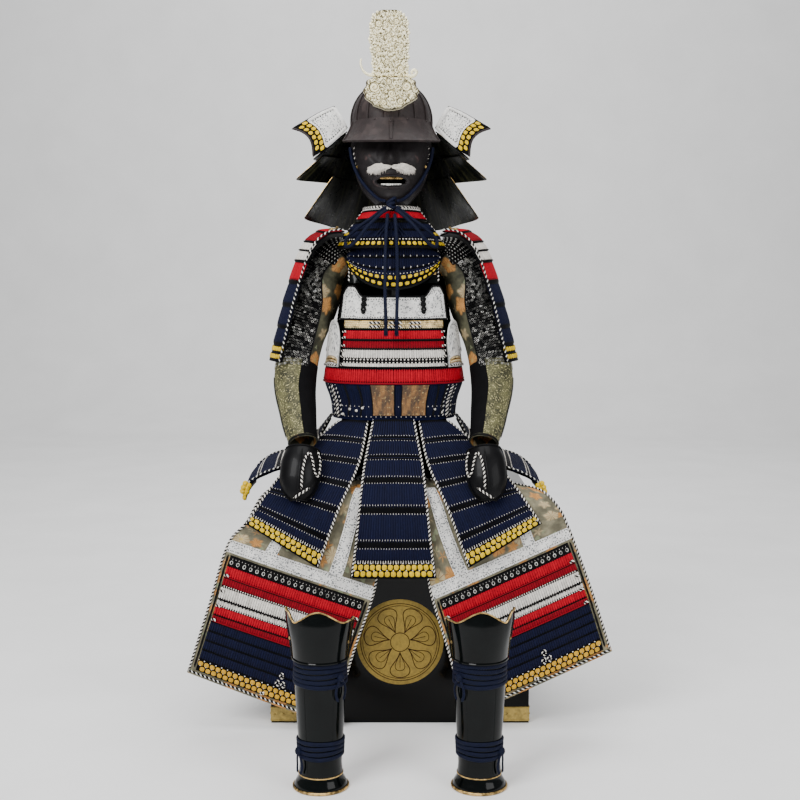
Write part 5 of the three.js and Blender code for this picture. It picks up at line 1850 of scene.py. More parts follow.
SLEEVE_CREASES = [
    (0.50, 0.07, 0.3, 0.10, -2.2), (0.30, 0.12, -0.5, 0.12, 1.8), (0.62, 0.18, 0.6, 0.09, -1.6),
    (0.42, 0.25, -0.4, 0.08, 1.6), (0.15, 0.30, 0.5, 0.12, -2.0), (0.58, 0.40, 0.7, 0.07, -2.4),
    (0.40, 0.47, -0.6, 0.09, 2.0), (0.52, 0.53, 0.5, 0.06, -2.6), (0.34, 0.58, 0.4, 0.07, -1.8),
    (0.66, 0.60, -0.5, 0.08, 1.8), (0.46, 0.66, -0.7, 0.06, 1.6), (0.85, 0.50, 0.5, 0.10, -2.0),
    (0.95, 0.62, -0.4, 0.09, 2.0), (0.55, 0.80, 0.5, 0.07, -1.6), (0.36, 0.88, -0.5, 0.08, 1.4),
    (0.08, 0.80, 0.6, 0.10, -1.6), (0.75, 0.90, 0.4, 0.07, 1.4),
]


# Millimetres between rings along a row and from row to row, and a ring's radius and its wire's.
MAIL_PITCH, MAIL_RING = (7.4, 6.8), (2.7, 0.62)


def sleeve(side):
    """The sleeve: a tube of brocade with mail on its outer half and small plates on the forearm."""
    base = around(SLEEVE_PATH, -180, 180)
    form = creased(base, 0.9, SLEEVE_CREASES, 0.06)
    name = HANDS[side]
    cloth = Work(TORSO_SHIFT, side, seed=40)
    wall(cloth, form, 64, even(72), CLOTH, "sleeve_brocade", wrapped=True)
    piece = cloth.build(f"sleeve_cloth_{name}", [f"sleeve_{name}"], sharp=70)
    mail = Work(TORSO_SHIFT, side, seed=41)

    def backing(u, v):
        u, v = paired(u, v)
        inner = 0.50 - 0.10 * smooth(v, 0.2, 0.9)
        return form(lerp(inner, 0.93, u), lerp(0.03, 0.63, v))

    wall(mail, backing, 24, even(36), 0.5, "black_cloth", lift=0.6)
    for u in (0.0, 1.0):
        laid(mail, backing, u, steps(50), 0.6, 3.4, 2.2, "black_cord")
    inside = part_of(form, (0.20, 0.455), (0.60, 0.985))
    wall(mail, inside, 16, even(28), 0.5, "black_cloth", lift=0.7)
    fore = part_of(form, (0.455, 0.93), (0.60, 0.985))
    wall(mail, fore, 28, even(28), 0.5, "gold_speckled", lift=0.7)
    # Rings in rows, each row half a pitch along from the one above.
    _, girth = spread(backing, 0.4)
    long = lengths(backing(0.5, steps(60)))[-1]
    columns, rows = int(girth / MAIL_PITCH[0]), int(long / MAIL_PITCH[1])
    turn = np.linspace(0, 2 * math.pi, 7)[:-1]
    middle_u, middle_v = [], []
    for r in range(rows):
        for c in range(columns):
            middle_u.append((c + 0.5 + 0.5 * (r % 2) - 0.25) / columns)
            middle_v.append((r + 0.5) / rows)
    middle_u, middle_v = np.array(middle_u), np.array(middle_v)
    spot, away = flat_path(backing, middle_u, middle_v, 1.2)
    down = unit(backing(middle_u, np.minimum(middle_v + 0.01, 1)) - backing(middle_u, middle_v - 0.002))
    across = np.cross(down, away)
    lean = np.where(np.arange(len(middle_u)) % 2, 0.35, -0.35)[:, None]
    small = np.linspace(0, 2 * math.pi, 5)[:-1]
    radius, fat = MAIL_RING
    a, b = np.meshgrid(small, turn, indexing="ij")
    reach = radius + fat * np.cos(a)
    ring_x, ring_y, ring_z = reach * np.cos(b), reach * np.sin(b) * 0.86, fat * np.sin(a)
    tilt = away + across * lean
    grid = spot[:, None, None] + across[:, None, None] * ring_x[..., None] + down[:, None, None] * ring_y[
        ..., None,
    ]
    rise = (lean[:, None] * ring_x[None] * 0.3)[..., None]
    grid = grid + tilt[:, None, None] * ring_z[..., None] + away[:, None, None] * rise
    closed = np.concatenate([grid, grid[:, :1]], axis=1)
    uv = np.zeros((len(spot), 5, 7, 2))
    # Each ring gets a random tone, times painted light: brighter where the arm faces front, darker round
    # towards its back.
    ring_tone_and_painted_light = mail.random.uniform(0.0, 1.15, len(spot)) ** 1.6 * (1.25 - 0.85 * middle_u)
    ring_tint_with_painted_light = ring_tone_and_painted_light[:, None, None] + np.zeros(closed.shape[:3])
    mail.patches(closed, uv, "silver", tint=ring_tint_with_painted_light, wrapped=True)
    # Narrow plates over the outside of the forearm.
    for k in range(3):
        u = 0.56 + 0.19 * k
        splint = part_of(fore, (u - 0.05, u + 0.05), (0.14 + 0.03 * abs(k - 1), 0.9))
        wall(mail, splint, 8, even(20), 1.2, "glove_lacquer", lift=2.4)
    collar = around(
        [(152, 165, 1072, 45, 50), (134, 164, 1100, 32, 47), (108, 162, 1116, 15, 41)], -100, 150,
    )
    wall(mail, collar, 30, even(10), 1.0, "black_cloth", lift=0.5)
    for v in np.linspace(0.08, 0.95, 8):
        row(
            mail, collar, (v - 0.03, v + 0.03), 7.6, 1.0, "silver", share=0.32, lift=(0.5, 0.5),
            shape=(2, 2), cells=(4, 4),
        )
    face = mail.build(f"sleeve_mail_{name}", sharp=60, weld=False)
    trim = Work(TORSO_SHIFT, side, seed=42)
    for v in (0.006, 0.992):
        laid(trim, form, steps(60), v, -0.4, 4.6, 3.0, "black_cord", taper=False)
    hems = trim.build(f"sleeve_trim_{name}", sharp=60, weld=False)
    return piece


def hand_guard(side):
    """The domed plate over the back of the hand, edged and looped with braid."""
    form = around(HAND_PATH, -105, 105)
    work = Work(TORSO_SHIFT, side, seed=43)
    wall(work, form, 40, even(30), IRON, "glove_lacquer", back="black_cloth")
    for u in (0.015, 0.985):
        laid(work, form, u, steps(30), -0.4, 4.0, 3.2, "black_cord")
    for v in (0.02, 0.985):
        laid(work, form, steps(40), v, -0.4, 4.0, 3.2, "black_cord")
    laid(work, form, np.linspace(0.30, 0.62, 24), np.linspace(0.66, 0.93, 24), 0.4, 5.0, 4.0, "edge_braid")
    loops = [
        (0.44, 0.70), (0.455, 0.45), (0.43, 0.22), (0.39, 0.16), (0.34, 0.26), (0.27, 0.42),
        (0.20, 0.46), (0.17, 0.34), (0.24, 0.06),
    ]
    path = curve([(u, v, 0) for u, v in loops])(steps(60))
    laid(work, form, path[:, 0], path[:, 1], 0.5, 5.0, 4.2, "edge_braid")
    laid(work, form, 0.5, np.linspace(0.08, 0.92, 20), -0.6, 3.6, 2.4, "glove_lacquer")
    return work.finished(f"hand_guard_{HANDS[side]}")


def shoulder_guard(side):
    """Eight laced boards that hang from the shoulder, bowed over the arm."""
    work = Work(TORSO_SHIFT, side, seed=44)
    edges = [0, 1.2, 2.5, 3.15, 3.8, 4.8, 5.6, 6.4, 7.1, 8]
    colours = [
        "red_silk", "crimson_silk", "white_silk", "white_silk", "red_silk", "navy_silk", "navy_silk",
        "navy_silk", None,
    ]
    laced_boards(work, guard_form, 44, edges, colours)
    for v in (2.5 / 8, 3.15 / 8, 3.8 / 8):
        ticks(work, guard_form, v, 8.0, 3.8, "black_silk", (3.4, 3.6))
    # The white beads at the foot of the last navy row are painted highlights on the lacquered board edge.
    ticks(work, guard_form, 0.885, 6.8, 1.6, size=(2.4, 3.0))
    cells_row(work, guard_form, 0.92, CELL_PITCH, (11.5, 10.5), 1.4)
    cells_row(work, guard_form, 0.967, CELL_PITCH, (11.5, 10.5), 2.2, offset=0.0)
    side_braids(work, guard_form, "dark_braid", lift=1.8, width=6.0, height=3.6, samples=70)
    for u in (0.10, 0.90):
        laid(work, guard_form, u, np.linspace(0.0, 0.10, 10), 1.0, 15.0, 4.4, "gilt")
        laid(work, guard_form, u, np.linspace(0.004, 0.03, 6), 3.6, 20.0, 5.0, "bronze_gilt")
        stud(work, guard_form, u, 0.07, 4.0, 4.0, "gilt", 0.8)
    level_braid(work, guard_form, 0.012, "plain_leather", 0.4, 7.0, 3.4)
    return work.finished(f"shoulder_guard_{HANDS[side]}")


# ---------------------------------------------------------------- skirt


def skirt_panel(name, sections, bulge, side=1):
    """Six laced boards; the hem board carries two rows of yellow cells."""
    form = between(sections, bulge)
    work = Work(TORSO_SHIFT, side, seed=50)
    laced_boards(work, form, 36, [0, 1, 2, 3, 4, 5, 6], ["navy_silk"] * 5 + [None])
    down = lengths(form(0.5, steps(40)))[-1]
    first = 1 - 20.5 / down
    second = 1 - 8.5 / down
    laced_to = first - 10.5 / down
    row(
        work, form, (5 / 6 + 0.006, laced_to), bpy.context.scene.armour_lacing.cord_pitch, 1.3, "navy_silk",
        lift=(0, 1.2),
    )
    # The white beads just above and below each board edge are painted highlights on the lacquered board
    # edges between the cords.
    for k in range(1, 6):
        for shift in (-0.022, 0.02):
            ticks(work, form, k / 6 + shift, 6.0, 1.0 if shift > 0 else 3.4, size=(1.2, 3.4))
        level_braid(work, form, k / 6 - 0.001, "navy_silk", 1.2, 5.0, 1.6)
    # The white beads at the foot of the navy lacing on the hem board are painted highlights on the lacquer.
    ticks(work, form, laced_to + 1.0 / down, 5.6, 1.6, size=(1.6, 7.0))
    cells_row(work, form, first, CELL_PITCH, (11.6, 10.8), 1.6)
    cells_row(work, form, second, CELL_PITCH, (11.6, 10.8), 2.6, offset=0.0)
    for middle, offset, lift in ((first - 7.4 / down, 0.0, 1.4), (second - 6.2 / down, 0.5, 2.4)):
        ticks(work, form, middle, CELL_PITCH, lift, size=(3.2, 3.0), margin=0.0, offset=offset)
    if "_side_" in name and "front" not in name:
        side_braids(work, form, "dark_braid", lift=1.2, width=6.5, height=4.0, down=(0.0, 0.86))
        _, whole = spread(form, 0.9)
        for v in (first, second):
            for u in (3.0 / whole, 1 - 3.0 / whole):
                stud(work, form, u, v, 1.5, 7.6, "yellow_silk", 0.8)
        front = np.array([0, -1.0, 0.0])
        for v in (0.80, 0.845, 0.89):
            for across in (2.0, 12.0):
                spot, away = flat_path(form, 0.006, v, across - 4.0)
                ball(work, spot + front * 3.0, 7.0, "yellow_silk", 0.8, front)
    else:
        side_braids(work, form, lift=1.2, width=4.8, height=3.4)
    return work.finished(name)


# ---------------------------------------------------------------- thigh guards

THIGH_BAND = (0.6, 0.643)
THIGH_FIELD = (0.65, 0.982)
THIGH_INSET = 0.05
# The upright leather bands above each cross band: where they start and end across, and their width.
LEG_BAND_TOP = 0.18
LEG_BANDS = {
    "left": [(0.722, 0.80, 0.09), (0.285, 0.32, 0.08)],
    "right": [(0.235, 0.095, 0.09), (0.715, 0.68, 0.08)],
}
THIGH_BOARDS = [0, 10, 22, 30, 43, 49, 59, 66, 76, 86, 96, 106, 118]
THIGH_COLOURS = [
    "black_silk", "red_silk", "crimson_silk", "white_silk", "white_silk", "red_silk", "crimson_silk",
    "navy_silk", "navy_silk", "navy_silk", "navy_silk", None,
]
THIGH_CREASES = [
    (0.12, 0.22, 0.5, 0.14, 2.2), (0.32, 0.30, -0.5, 0.16, -2.0), (0.55, 0.24, 0.4, 0.12, 1.8),
    (0.78, 0.32, -0.6, 0.15, -2.2), (0.90, 0.18, 0.3, 0.12, 1.6), (0.22, 0.46, 0.6, 0.10, -1.4),
    (0.66, 0.48, -0.4, 0.12, 1.4),
]


def thigh_guard(name):
    """A thigh guard: a brocade cloth, its leather band, laced boards and edge braids."""
    base = between(APRON[name], 5)
    fade = creased(base, 0.8, THIGH_CREASES, 0.07)

    def form(u, v):
        v = np.asarray(v, float)
        share = (1 - smooth(v, 0.45, 0.58))[..., None]
        return lerp(base(u, v), fade(u, v), share)

    cloth = Work(0, seed=60)
    wall(cloth, form, 48, even(72), CLOTH, "brocade")
    piece = cloth.build(f"thigh_fabric_{name}", [f"thigh_cloth_{name}"], sharp=60)
    band_form = part_of(base, (0.004, 0.996), THIGH_BAND)
    band = Work(0, seed=61)
    wall(band, band_form, 50, even(6), LEATHER, "leather", lift=LEATHER + SEAM)
    for v in (0.16, 0.84):
        sewn(band, band_form, np.linspace(0.01, 0.99, 100), v, 1.9, *BAND_STITCH)
    for start, end, width in LEG_BANDS[name]:

        def upright(u, v, start=start, end=end, width=width):
            u, v = np.asarray(u, float), np.asarray(v, float)
            middle = lerp(end, start, v)
            return base(middle + (u - 0.5) * width, lerp(LEG_BAND_TOP, THIGH_BAND[0], v) + 0 * u)

        wall(band, upright, 8, even(40), LEATHER, "leather", lift=LEATHER + SEAM)
        for u in (0.14, 0.86):
            sewn(band, upright, u, np.linspace(0.01, 0.99, 50), 1.9, *BAND_STITCH)
    band.finished(f"thigh_band_{name}")

    field = part_of(base, (THIGH_INSET, 1 - THIGH_INSET), THIGH_FIELD)
    boards = Work(0, seed=62)
    lift = BOARD + SEAM
    laced_boards(boards, field, 60, THIGH_BOARDS, THIGH_COLOURS, 1.5, height=1.1, lift=lift)
    marks = shares(THIGH_BOARDS)
    _, whole = spread(field, 0.1)
    down = lengths(field(0.5, steps(40)))[-1]
    loops = int(whole / 15)
    for k in range(loops):
        turn = np.linspace(0, 2 * math.pi, 13)
        u = (k + 0.5 + 0.20 * np.cos(turn)) / loops
        v = marks[1] * (0.68 + 0.18 * np.sin(turn))
        laid(boards, field, u, v, lift + 1.0, 1.9, 1.8, "silver", sides=6, taper=False)
    ticks(boards, field, marks[1] * 0.30, 7.5, lift + 0.8, "white_silk", (1.3, 3.4))
    ticks(boards, field, marks[1], 5.6, lift + 1.8, "black_silk", (2.8, 3.0))
    level_braid(boards, field, marks[4], "black_silk", lift + 1.2, 3.0, 2.0)
    ticks(boards, field, marks[4] + 0.008, 8.4, lift + 2.4, "black_silk", (3.0, 3.4))
    for v in (marks[2] - 0.006, marks[7] - 0.006):
        level_braid(boards, field, v, "crimson_silk", lift + 1.2, 2.6, 2.0)
    for v in (marks[3], marks[5]):
        ticks(boards, field, v, 5.6, lift + 2.2, size=(2.8, 3.4))
    for u, v in ((0.60, 0.80), (0.585, 0.865), (0.625, 0.865)):
        spot, away = flat_path(field, u, v, lift + 3.0)
        turn = np.linspace(0, 2 * math.pi, 13)
        ring = spot + np.stack([4.6 * np.cos(turn), -1.5 + 0 * turn, 6.0 * np.sin(turn)], axis=-1)
        tube(boards, ring, 1.8, "edge_braid", sides=6, closed_ends=False)
    for v, offset in ((1 - 19.0 / down, 0.5), (1 - 6.8 / down, 0.0)):
        cells_row(boards, field, v, CELL_PITCH, (11.6, 11.0), lift + 1.2, "amber_silk", offset)
        ticks(
            boards, field, v - 7.2 / down, CELL_PITCH, lift + 2.0, size=(3.2, 3.0), margin=0.0,
            offset=0.5 - offset,
        )
    for start, end in ((0.0, 0.035), (0.965, 1.0)):
        for v in (marks[2] - 0.02, marks[3] + 0.04, marks[5], marks[7] - 0.02):
            twisted(boards, field, v, lift + 1.8, 6.0, (start, end))
    boards.finished(f"thigh_boards_{name}")

    trim = Work(0, seed=63)
    for u in (0.008, 0.992):
        laid(trim, form, u, np.linspace(0.01, 0.992, 110), 0.1, 5.2, 3.8, "edge_braid")
    for v, finish in ((0.008, "edge_braid"), (0.992, "dark_braid")):
        laid(trim, form, np.linspace(0.004, 0.996, 90), v, 0.1, 5.0, 3.8, finish)
    for u in (0.035, 0.965):
        laid(trim, base, u, np.linspace(THIGH_FIELD[0], 0.978, 40), 0.3, 4.4, 2.6, "black_silk")
    # A small crossed knot closes the split in the hem.
    spot, _ = flat_path(base, 0.5, 0.978, 6.5)
    for turn in (0.5, -0.5):
        dash = spot + np.linspace(-6, 6, 7)[:, None] * np.array([math.cos(turn), 0, math.sin(turn)])
        tube(trim, dash, 2.6, "edge_braid", sides=8)
    hems = trim.build(f"thigh_edging_{name}", sharp=60, weld=False)
    area = float(cut_area(form))
    wide = float(max(lengths(form(steps(30), v))[-1] for v in steps(12))) / 1000
    return piece


def cut_area(form, columns=40, rows=60):
    """The area of a form in square metres."""
    u, v = np.meshgrid(steps(columns), steps(rows))
    p = form(u, v) / 1000
    across, down = p[:-1, 1:] - p[:-1, :-1], p[1:, :-1] - p[:-1, :-1]
    return np.linalg.norm(np.cross(across, down), axis=-1).sum()


# ---------------------------------------------------------------- greaves


def greave(side):
    """The shin plate with cord wraps, a gilt line and a gilt foot rim."""
    form = leg_form(SHIN_SECTIONS, 128, 296, 0)
    work = Work(0, side, seed=70)
    wall(work, form, 48, even(40), IRON, "lacquer")
    for v, width, height, finish in (
        (0.991, 6.0, 4.4, "bronze_gilt"), (0.90, 2.6, 2.0, "gilt"), (0.008, 4.0, 3.0, "gilt"),
    ):
        laid(work, form, np.linspace(0.004, 0.996, 70), v, -0.4, width, height, finish)
    for u in (0.008, 0.992):
        laid(work, form, u, steps(60), -0.6, 3.4, 3.4, "gilt")
    for u in (0.36, 0.64):
        laid(work, form, u, np.linspace(0.06, 0.88, 50), -1.2, 3.0, 2.6, "lacquer")
    for top, turns, knot_u in ((0.12, 5, 0.30), (0.66, 4, 0.74)):
        for k in range(turns):
            v = top + 0.034 * k + 0.004 * np.sin(np.linspace(0, 9, 70) + k)
            laid(work, form, np.linspace(0.01, 0.99, 70), v, -0.4, 8.6, 4.6, "navy_cord")
        stud(work, form, knot_u, top + 0.017 * turns, 4.0, 9.5, "navy_cord", 0.8)
        for lean in (-1, 1):
            line = steps(16)
            laid(
                work, form, knot_u + lean * 0.055 * np.sin(line * 2.6), top + 0.017 * turns + 0.16 * line,
                3.0, 6.6, 4.0, "navy_cord",
            )
    return work.finished(f"greave_{HANDS[side]}")


def knee_plate(side):
    """The domed plate over the knee, with a gilt top rim."""
    base = leg_form(KNEE_SECTIONS, 92, knee_top, 266)

    def form(u, v):
        u, v = paired(u, v)
        swell = np.exp(-(((2 * u - 1) / 0.5) ** 2)) * np.sin(math.pi * np.clip(v * 0.92 + 0.04, 0, 1))
        return moved(base, u, v, 9.0 * swell)

    work = Work(0, side, seed=71)
    wall(work, form, 72, even(32), IRON, "lacquer")
    laid(work, form, np.linspace(0.004, 0.996, 140), 0.012, -0.9, 3.2, 3.6, "gilt")
    for u in (0.006, 0.994):
        laid(work, form, u, np.linspace(0.02, 0.98, 24), -0.8, 3.4, 3.4, "lacquer")
    laid(work, form, np.linspace(0.01, 0.99, 70), 0.97, -0.6, 4.4, 3.4, "lacquer")
    for u in (0.12, 0.88):
        stud(work, form, u, 0.55, 0.0, 3.4, "bronze_gilt", 0.8)
    return work.finished(f"knee_plate_{HANDS[side]}")


# ---------------------------------------------------------------- box and stand


def finish_cad(node, finish, bevel):
    """Gives a node's own solid a finish and softly rounded edges."""
    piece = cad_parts[node]
    piece.data.materials.clear()
    piece.data.materials.append(material(finish))
    edge = piece.modifiers.new("Soft edges", "BEVEL")
    edge.width, edge.segments = bevel, 3
    edge.limit_method = "ANGLE"
    edge.angle_limit = math.radians(40)


PLATE_WIDTH, PLATE_FLANK, PLATE_HEIGHT = 59, 40, 34


def corner_plate(work, z, side):
    """A brass plate wrapped round a lower corner of the box."""
    low_y = BOX_LOW[1] - SHIFT[1]
    edge = BOX_HIGH[0] - SHIFT[0] if side > 0 else BOX_LOW[0] - SHIFT[0]

    def front(u, v):
        across = np.interp(np.asarray(u, float), [0, 1], [-1.2, PLATE_WIDTH])
        return stack(edge - side * across, low_y, z + PLATE_HEIGHT * (1 - np.asarray(v, float)))

    def flank(u, v):
        across = low_y + PLATE_FLANK * np.asarray(u, float) - 1.2
        return stack(edge, across, z + PLATE_HEIGHT * (1 - np.asarray(v, float)))

    for form in (front, flank):
        x, y, _ = outward(form, 0.5, 0.5)
        shape = form
        if (-y if form is front else side * x) <= 0:
            shape = part_of(form, (1, 0), (0, 1))
        wall(work, shape, 12, even(8), 0.6, "brass", lift=1.4)
        for u in (0.15, 0.5, 0.85):
            stud(work, shape, u, 0.5, 1.4, 2.6, "brass", 0.8)
        for v in (0.06, 0.94):
            laid(work, shape, np.linspace(0.02, 0.98, 12), v, 0.9, 2.4, 1.8, "brass", sides=6)


ROUNDEL_Z, ROUNDEL_RADIUS, PETALS = 192, 101, 7


def armour_box():
    """The lacquered box with brass corners and a gold roundel on its front."""
    finish_cad("box_body", "lacquer", 0.002)
    finish_cad("box_lid", "lacquer", 0.003)
    work = Work(0, seed=80)
    for side in (-1, 1):
        corner_plate(work, BOX_LOW[2] + 4, side)
    # A gold roundel of plain rings and petals on the front.
    y = BOX_LOW[1] - SHIFT[1] - 0.4
    turn = np.linspace(0, 2 * math.pi, 121)
    rings = np.linspace(0.5, ROUNDEL_RADIUS, 14)
    rows = []
    for r in rings:
        front = y - 0.9 + (1.2 if r == ROUNDEL_RADIUS else 0)
        rows.append(stack(r * np.sin(turn[:-1]), front, ROUNDEL_Z + r * np.cos(turn[:-1])))
    uv = np.stack([np.stack([r * np.sin(turn), r * np.cos(turn)], axis=-1) / 1000 for r in rings])
    work.sheet(np.stack(rows), uv, "flat_gold", wrapped=True)
    for radius, width in ((91, 1.8), (86, 1.2), (22, 1.8)):
        points = stack(radius * np.sin(turn), y - 0.6, ROUNDEL_Z + radius * np.cos(turn))
        ribbon(work, points, np.tile(FRONT, (121, 1)), width, 1.0, "dark_line", taper=False)
    for k in range(PETALS):
        angle = 2 * math.pi * (k + 0.5) / PETALS
        share = steps(41)
        for grow, reach, width in ((0.34, 60, 2.0), (0.2, 44, 1.4)):
            along = 24 + reach * np.sin(math.pi * share)
            swing = grow * np.sin(2 * math.pi * share)
            points = stack(along * np.sin(angle + swing), y - 0.6, ROUNDEL_Z + along * np.cos(angle + swing))
            ribbon(work, points, np.tile(FRONT, (41, 1)), width, 1.0, "dark_line", taper=False)
        share = np.linspace(26, 62, 12)
        points = stack(share * math.sin(angle), y - 0.6, ROUNDEL_Z + share * math.cos(angle))
        ribbon(work, points, np.tile(FRONT, (12, 1)), 1.3, 1.0, "dark_line")
    fittings = work.build("box_fittings", sharp=50, weld=False)
    return fittings


def stand():
    """The turned wooden stand inside the armour."""
    finish_cad("armour_stand", "dark_wood", 0.002)


# ---------------------------------------------------------------- studio


def studio_material(name, colour):
    """Matt paper of one colour."""
    recipe = Recipe(name, colour, 0.9, specular_ior_level=0.1)
    recipe.toned(low=0.97, high=1.03, scale=3.0)
    return recipe.material


# The studio, in metres: the floor's front and back, the round foot of the wall, its height and half width.
FLOOR_FRONT, FLOOR_BACK, WALL_FOOT, WALL_TOP, HALF_WIDTH = -9.0, 5.4, 1.6, 9.0, 13.0
CAMERA_AT, CAMERA_TILT = (0.0015, -2.7357, 1.0), 84.88


def make_stage(settings):
    """A pale floor that curves up into a backdrop, soft lights and the camera."""
    profile = [(FLOOR_FRONT, 0.0), (FLOOR_BACK, 0.0)]
    for k in range(1, 17):
        angle = math.pi / 2 * k / 16
        profile.append((FLOOR_BACK + WALL_FOOT * math.sin(angle), WALL_FOOT * (1 - math.cos(angle))))
    profile.append((FLOOR_BACK + WALL_FOOT, WALL_TOP))
    mesh = bpy.data.meshes.new("backdrop")
    points = [(x, y, z - 0.0005) for y, z in profile for x in (-HALF_WIDTH, HALF_WIDTH)]
    faces = [(2 * k, 2 * k + 1, 2 * k + 3, 2 * k + 2) for k in range(len(profile) - 1)]
    mesh.from_pydata(points, [], faces)
    mesh.uv_layers.new(name="UV")
    attribute = mesh.attributes.new("tint", "FLOAT", "POINT")
    attribute.data.foreach_set("value", [1.0] * len(points))
    mesh.shade_smooth()
    mesh.materials.append(studio_material("backdrop_paper", (0.86, 0.86, 0.86)))
    backdrop = bpy.data.objects.new("backdrop", mesh)
    bpy.context.scene.collection.objects.link(backdrop)
    lights = [
        ("key_light", (-1.9, -2.6, 2.7), (0, 0, 0.9), 1.7, settings.key_power),
        ("fill_light", (2.3, -2.3, 1.7), (0, 0, 0.8), 2.0, settings.fill_power),
        ("top_light", (0.0, -0.2, 3.3), (0, 0.1, 0.8), 2.2, settings.top_power),
        ("backdrop_light", (0.0, 2.4, 5.2), (0, 6.6, 1.6), 4.0, settings.backdrop_power),
    ]
    for name, place, aim, size, power in lights:
        light = bpy.data.lights.new(name, "AREA")
        light.size, light.energy = size, power
        lamp = bpy.data.objects.new(name, light)
        lamp.location = place
        lamp.rotation_euler = (Vector(aim) - Vector(place)).to_track_quat("-Z", "Y").to_euler()
        bpy.context.scene.collection.objects.link(lamp)
    world = bpy.data.worlds.new("studio")
    world.use_nodes = True
    world.node_tree.nodes["Background"].inputs["Color"].default_value = (1, 1, 1, 1)
    world.node_tree.nodes["Background"].inputs["Strength"].default_value = settings.sky
    bpy.context.scene.world = world
    camera = bpy.data.objects.new("camera", bpy.data.cameras.new("camera"))
    camera.data.lens, camera.data.sensor_width = settings.lens, 36
    camera.location = CAMERA_AT
    camera.rotation_euler = (math.radians(CAMERA_TILT), 0, 0)
    bpy.context.scene.collection.objects.link(camera)
    bpy.context.scene.camera = camera


# ---------------------------------------------------------------- add-on


def silk_colour(name):
    """A colour that a user can change."""
    return bpy.props.FloatVectorProperty(
        name=f"{name.capitalize()} silk",
        description=f"Colour of the {name} lacing",
        default=COLOURS[name],
        min=0,
        max=1,
        subtype="COLOR",
    )


class LacingSettings(bpy.types.PropertyGroup):
    """The lacing's sizes and silk colours"""

    navy: silk_colour("navy")
    red: silk_colour("red")
    white: silk_colour("white")
    yellow: silk_colour("yellow")
    cord_pitch: bpy.props.FloatProperty(
        name="Cord pitch",
        description="Distance between neighbouring lacing cords, in millimetres",
        default=5.5,
        min=3,
        max=12,
    )
    cord_height: bpy.props.FloatProperty(
        name="Cord height",
        description="How far a lacing cord stands out of its board, in millimetres",
        default=1.3,
        min=0.3,
        max=3,
    )


class StageSettings(bpy.types.PropertyGroup):
    """The studio's lights and camera"""

    key_power: bpy.props.FloatProperty(
        name="Key light", description="Power of the key light", default=150, unit="POWER",
    )
    fill_power: bpy.props.FloatProperty(
        name="Fill light", description="Power of the fill light", default=60, unit="POWER",
    )
    top_power: bpy.props.FloatProperty(
        name="Top light", description="Power of the light overhead", default=75, unit="POWER",
    )
    backdrop_power: bpy.props.FloatProperty(
        name="Backdrop light", description="Power of the light on the backdrop", default=260, unit="POWER",
    )
    sky: bpy.props.FloatProperty(
        name="Sky", description="Brightness of the light all round", default=0.3, min=0,
    )
    lens: bpy.props.FloatProperty(
        name="Lens", description="Focal length of the camera", default=54.18, unit="CAMERA",
    )


def both_sides(make):
    """Makes the right piece, then its left copy."""
    for side in (1, -1):
        make(side)


class MakeHelmet(bpy.types.Operator):
    """Make the helmet bowl, its visor and the crest prong"""

    bl_idname = "armour.helmet"
    bl_label = "Helmet"

    def execute(self, context):
        helmet_bowl()
        visor()
        prong()
        return {"FINISHED"}


class MakeCrest(bpy.types.Operator):
    """Make the crest's blade and its cloud-shaped foot"""

    bl_idname = "armour.crest"
    bl_label = "Crest"

    def execute(self, context):
        crest_blade()
        crest_base()
        return {"FINISHED"}


class MakeNeckGuard(bpy.types.Operator):
    """Make the three neck lames and the two turnbacks"""

    bl_idname = "armour.neck_guard"
    bl_label = "Neck guard"

    def execute(self, context):
        for i in range(3):
            neck_lame(i)
        both_sides(turnback)
        return {"FINISHED"}


class MakeMask(bpy.types.Operator):
    """Make the face mask, its teeth and the moustache"""

    bl_idname = "armour.mask"
    bl_label = "Mask"

    def execute(self, context):
        face_mask()
        teeth("teeth_upper", 1264, 1257, "gilt")
        teeth("teeth_lower", 1247, 1240, "silver")
        moustache()
        return {"FINISHED"}


class MakeThroatGuard(bpy.types.Operator):
    """Make the laced throat lames, the bib and the chin cord"""

    bl_idname = "armour.throat_guard"
    bl_label = "Throat guard"

    def execute(self, context):
        throat_lame(True)
        throat_lame(False)
        bib()
        chin_cord()
        return {"FINISHED"}


class MakeCuirass(bpy.types.Operator):
    """Make the cuirass: front, back, hoop, flaps, straps and waist"""

    bl_idname = "armour.cuirass"
    bl_label = "Cuirass"

    def execute(self, context):
        breast_plate()
        cuirass_front()
        cuirass_back()
        cuirass_hoop()
        waist_cloth()
        both_sides(side_flap)
        both_sides(shoulder_strap)
        return {"FINISHED"}


class MakeArms(bpy.types.Operator):
    """Make the sleeves, hand guards and shoulder guards"""

    bl_idname = "armour.arms"
    bl_label = "Arms"

    def execute(self, context):
        both_sides(sleeve)
        both_sides(hand_guard)
        both_sides(shoulder_guard)
        return {"FINISHED"}


class MakeSkirt(bpy.types.Operator):
    """Make the seven laced skirt panels"""

    bl_idname = "armour.skirt"
    bl_label = "Skirt"

    def execute(self, context):
        skirt_panel("skirt_front", SKIRT_FRONT, 4)
        for side, name in ((1, "right"), (-1, "left")):
            skirt_panel(f"skirt_front_side_{name}", SKIRT_FRONT_SIDE, 6, side)
            skirt_panel(f"skirt_side_{name}", SKIRT_SIDE, 4, side)
            skirt_panel(f"skirt_back_{name}", SKIRT_BACK, 2, side)
        return {"FINISHED"}


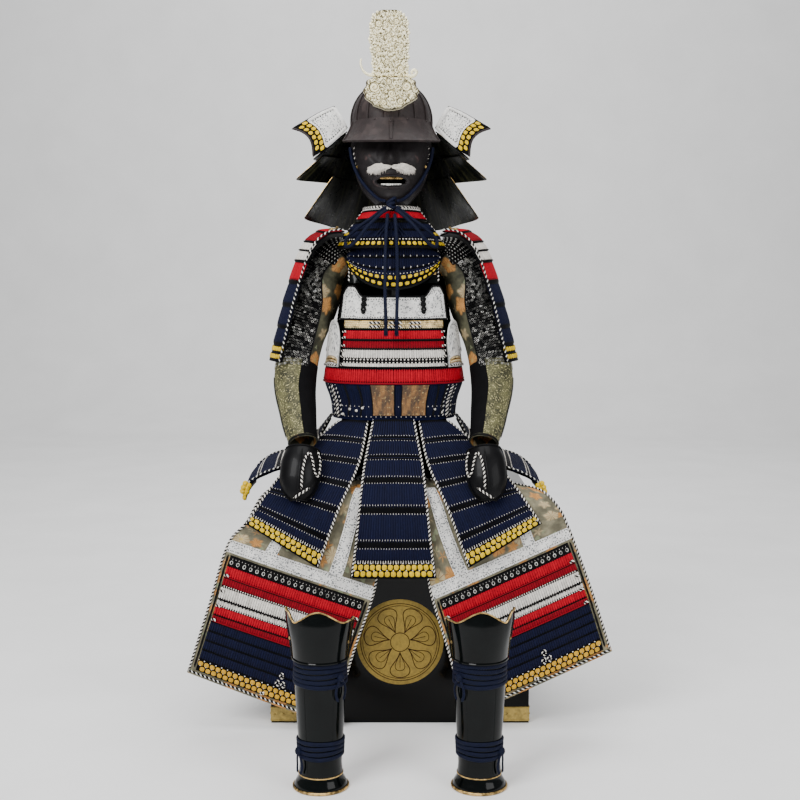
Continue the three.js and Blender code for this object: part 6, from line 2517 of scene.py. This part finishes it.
class MakeLegs(bpy.types.Operator):
    """Make the thigh guards, greaves and knee plates"""

    bl_idname = "armour.legs"
    bl_label = "Legs"

    def execute(self, context):
        thigh_guard("left")
        thigh_guard("right")
        both_sides(greave)
        both_sides(knee_plate)
        return {"FINISHED"}


class MakeBox(bpy.types.Operator):
    """Finish the armour box and the stand, and add the box's fittings"""

    bl_idname = "armour.box"
    bl_label = "Box and stand"

    def execute(self, context):
        armour_box()
        stand()
        return {"FINISHED"}


class MakeStage(bpy.types.Operator):
    """Make the floor, backdrop, lights and camera"""

    bl_idname = "armour.stage"
    bl_label = "Studio"

    def execute(self, context):
        make_stage(context.scene.armour_stage)
        return {"FINISHED"}


STEPS = [
    MakeBox,
    MakeHelmet,
    MakeCrest,
    MakeNeckGuard,
    MakeMask,
    MakeThroatGuard,
    MakeCuirass,
    MakeArms,
    MakeSkirt,
    MakeLegs,
    MakeStage,
]


class ArmourPanel(bpy.types.Panel):
    """The steps and their settings"""

    bl_idname = "VIEW3D_PT_armour"
    bl_label = "Samurai armour"
    bl_space_type = "VIEW_3D"
    bl_region_type = "UI"
    bl_category = "Armour"

    def draw(self, context):
        for name in ("cord_pitch", "cord_height", *LACE_COLOURS):
            self.layout.prop(context.scene.armour_lacing, name)
        for name in StageSettings.__annotations__:
            self.layout.prop(context.scene.armour_stage, name)
        for step in STEPS:
            self.layout.operator(step.bl_idname)


CLASSES = [LacingSettings, StageSettings, *STEPS, ArmourPanel]


def register():
    """Adds the classes and the two groups of settings."""
    for each in CLASSES:
        bpy.utils.register_class(each)
    bpy.types.Scene.armour_lacing = bpy.props.PointerProperty(type=LacingSettings)
    bpy.types.Scene.armour_stage = bpy.props.PointerProperty(type=StageSettings)


def unregister():
    """Takes them away again."""
    del bpy.types.Scene.armour_stage
    del bpy.types.Scene.armour_lacing
    for each in reversed(CLASSES):
        bpy.utils.unregister_class(each)


def main():
    """Makes every piece and the stage."""
    register()
    for step in STEPS:
        group, name = step.bl_idname.split(".")
        getattr(getattr(bpy.ops, group), name)()


if __name__ == "__main__":
    main()
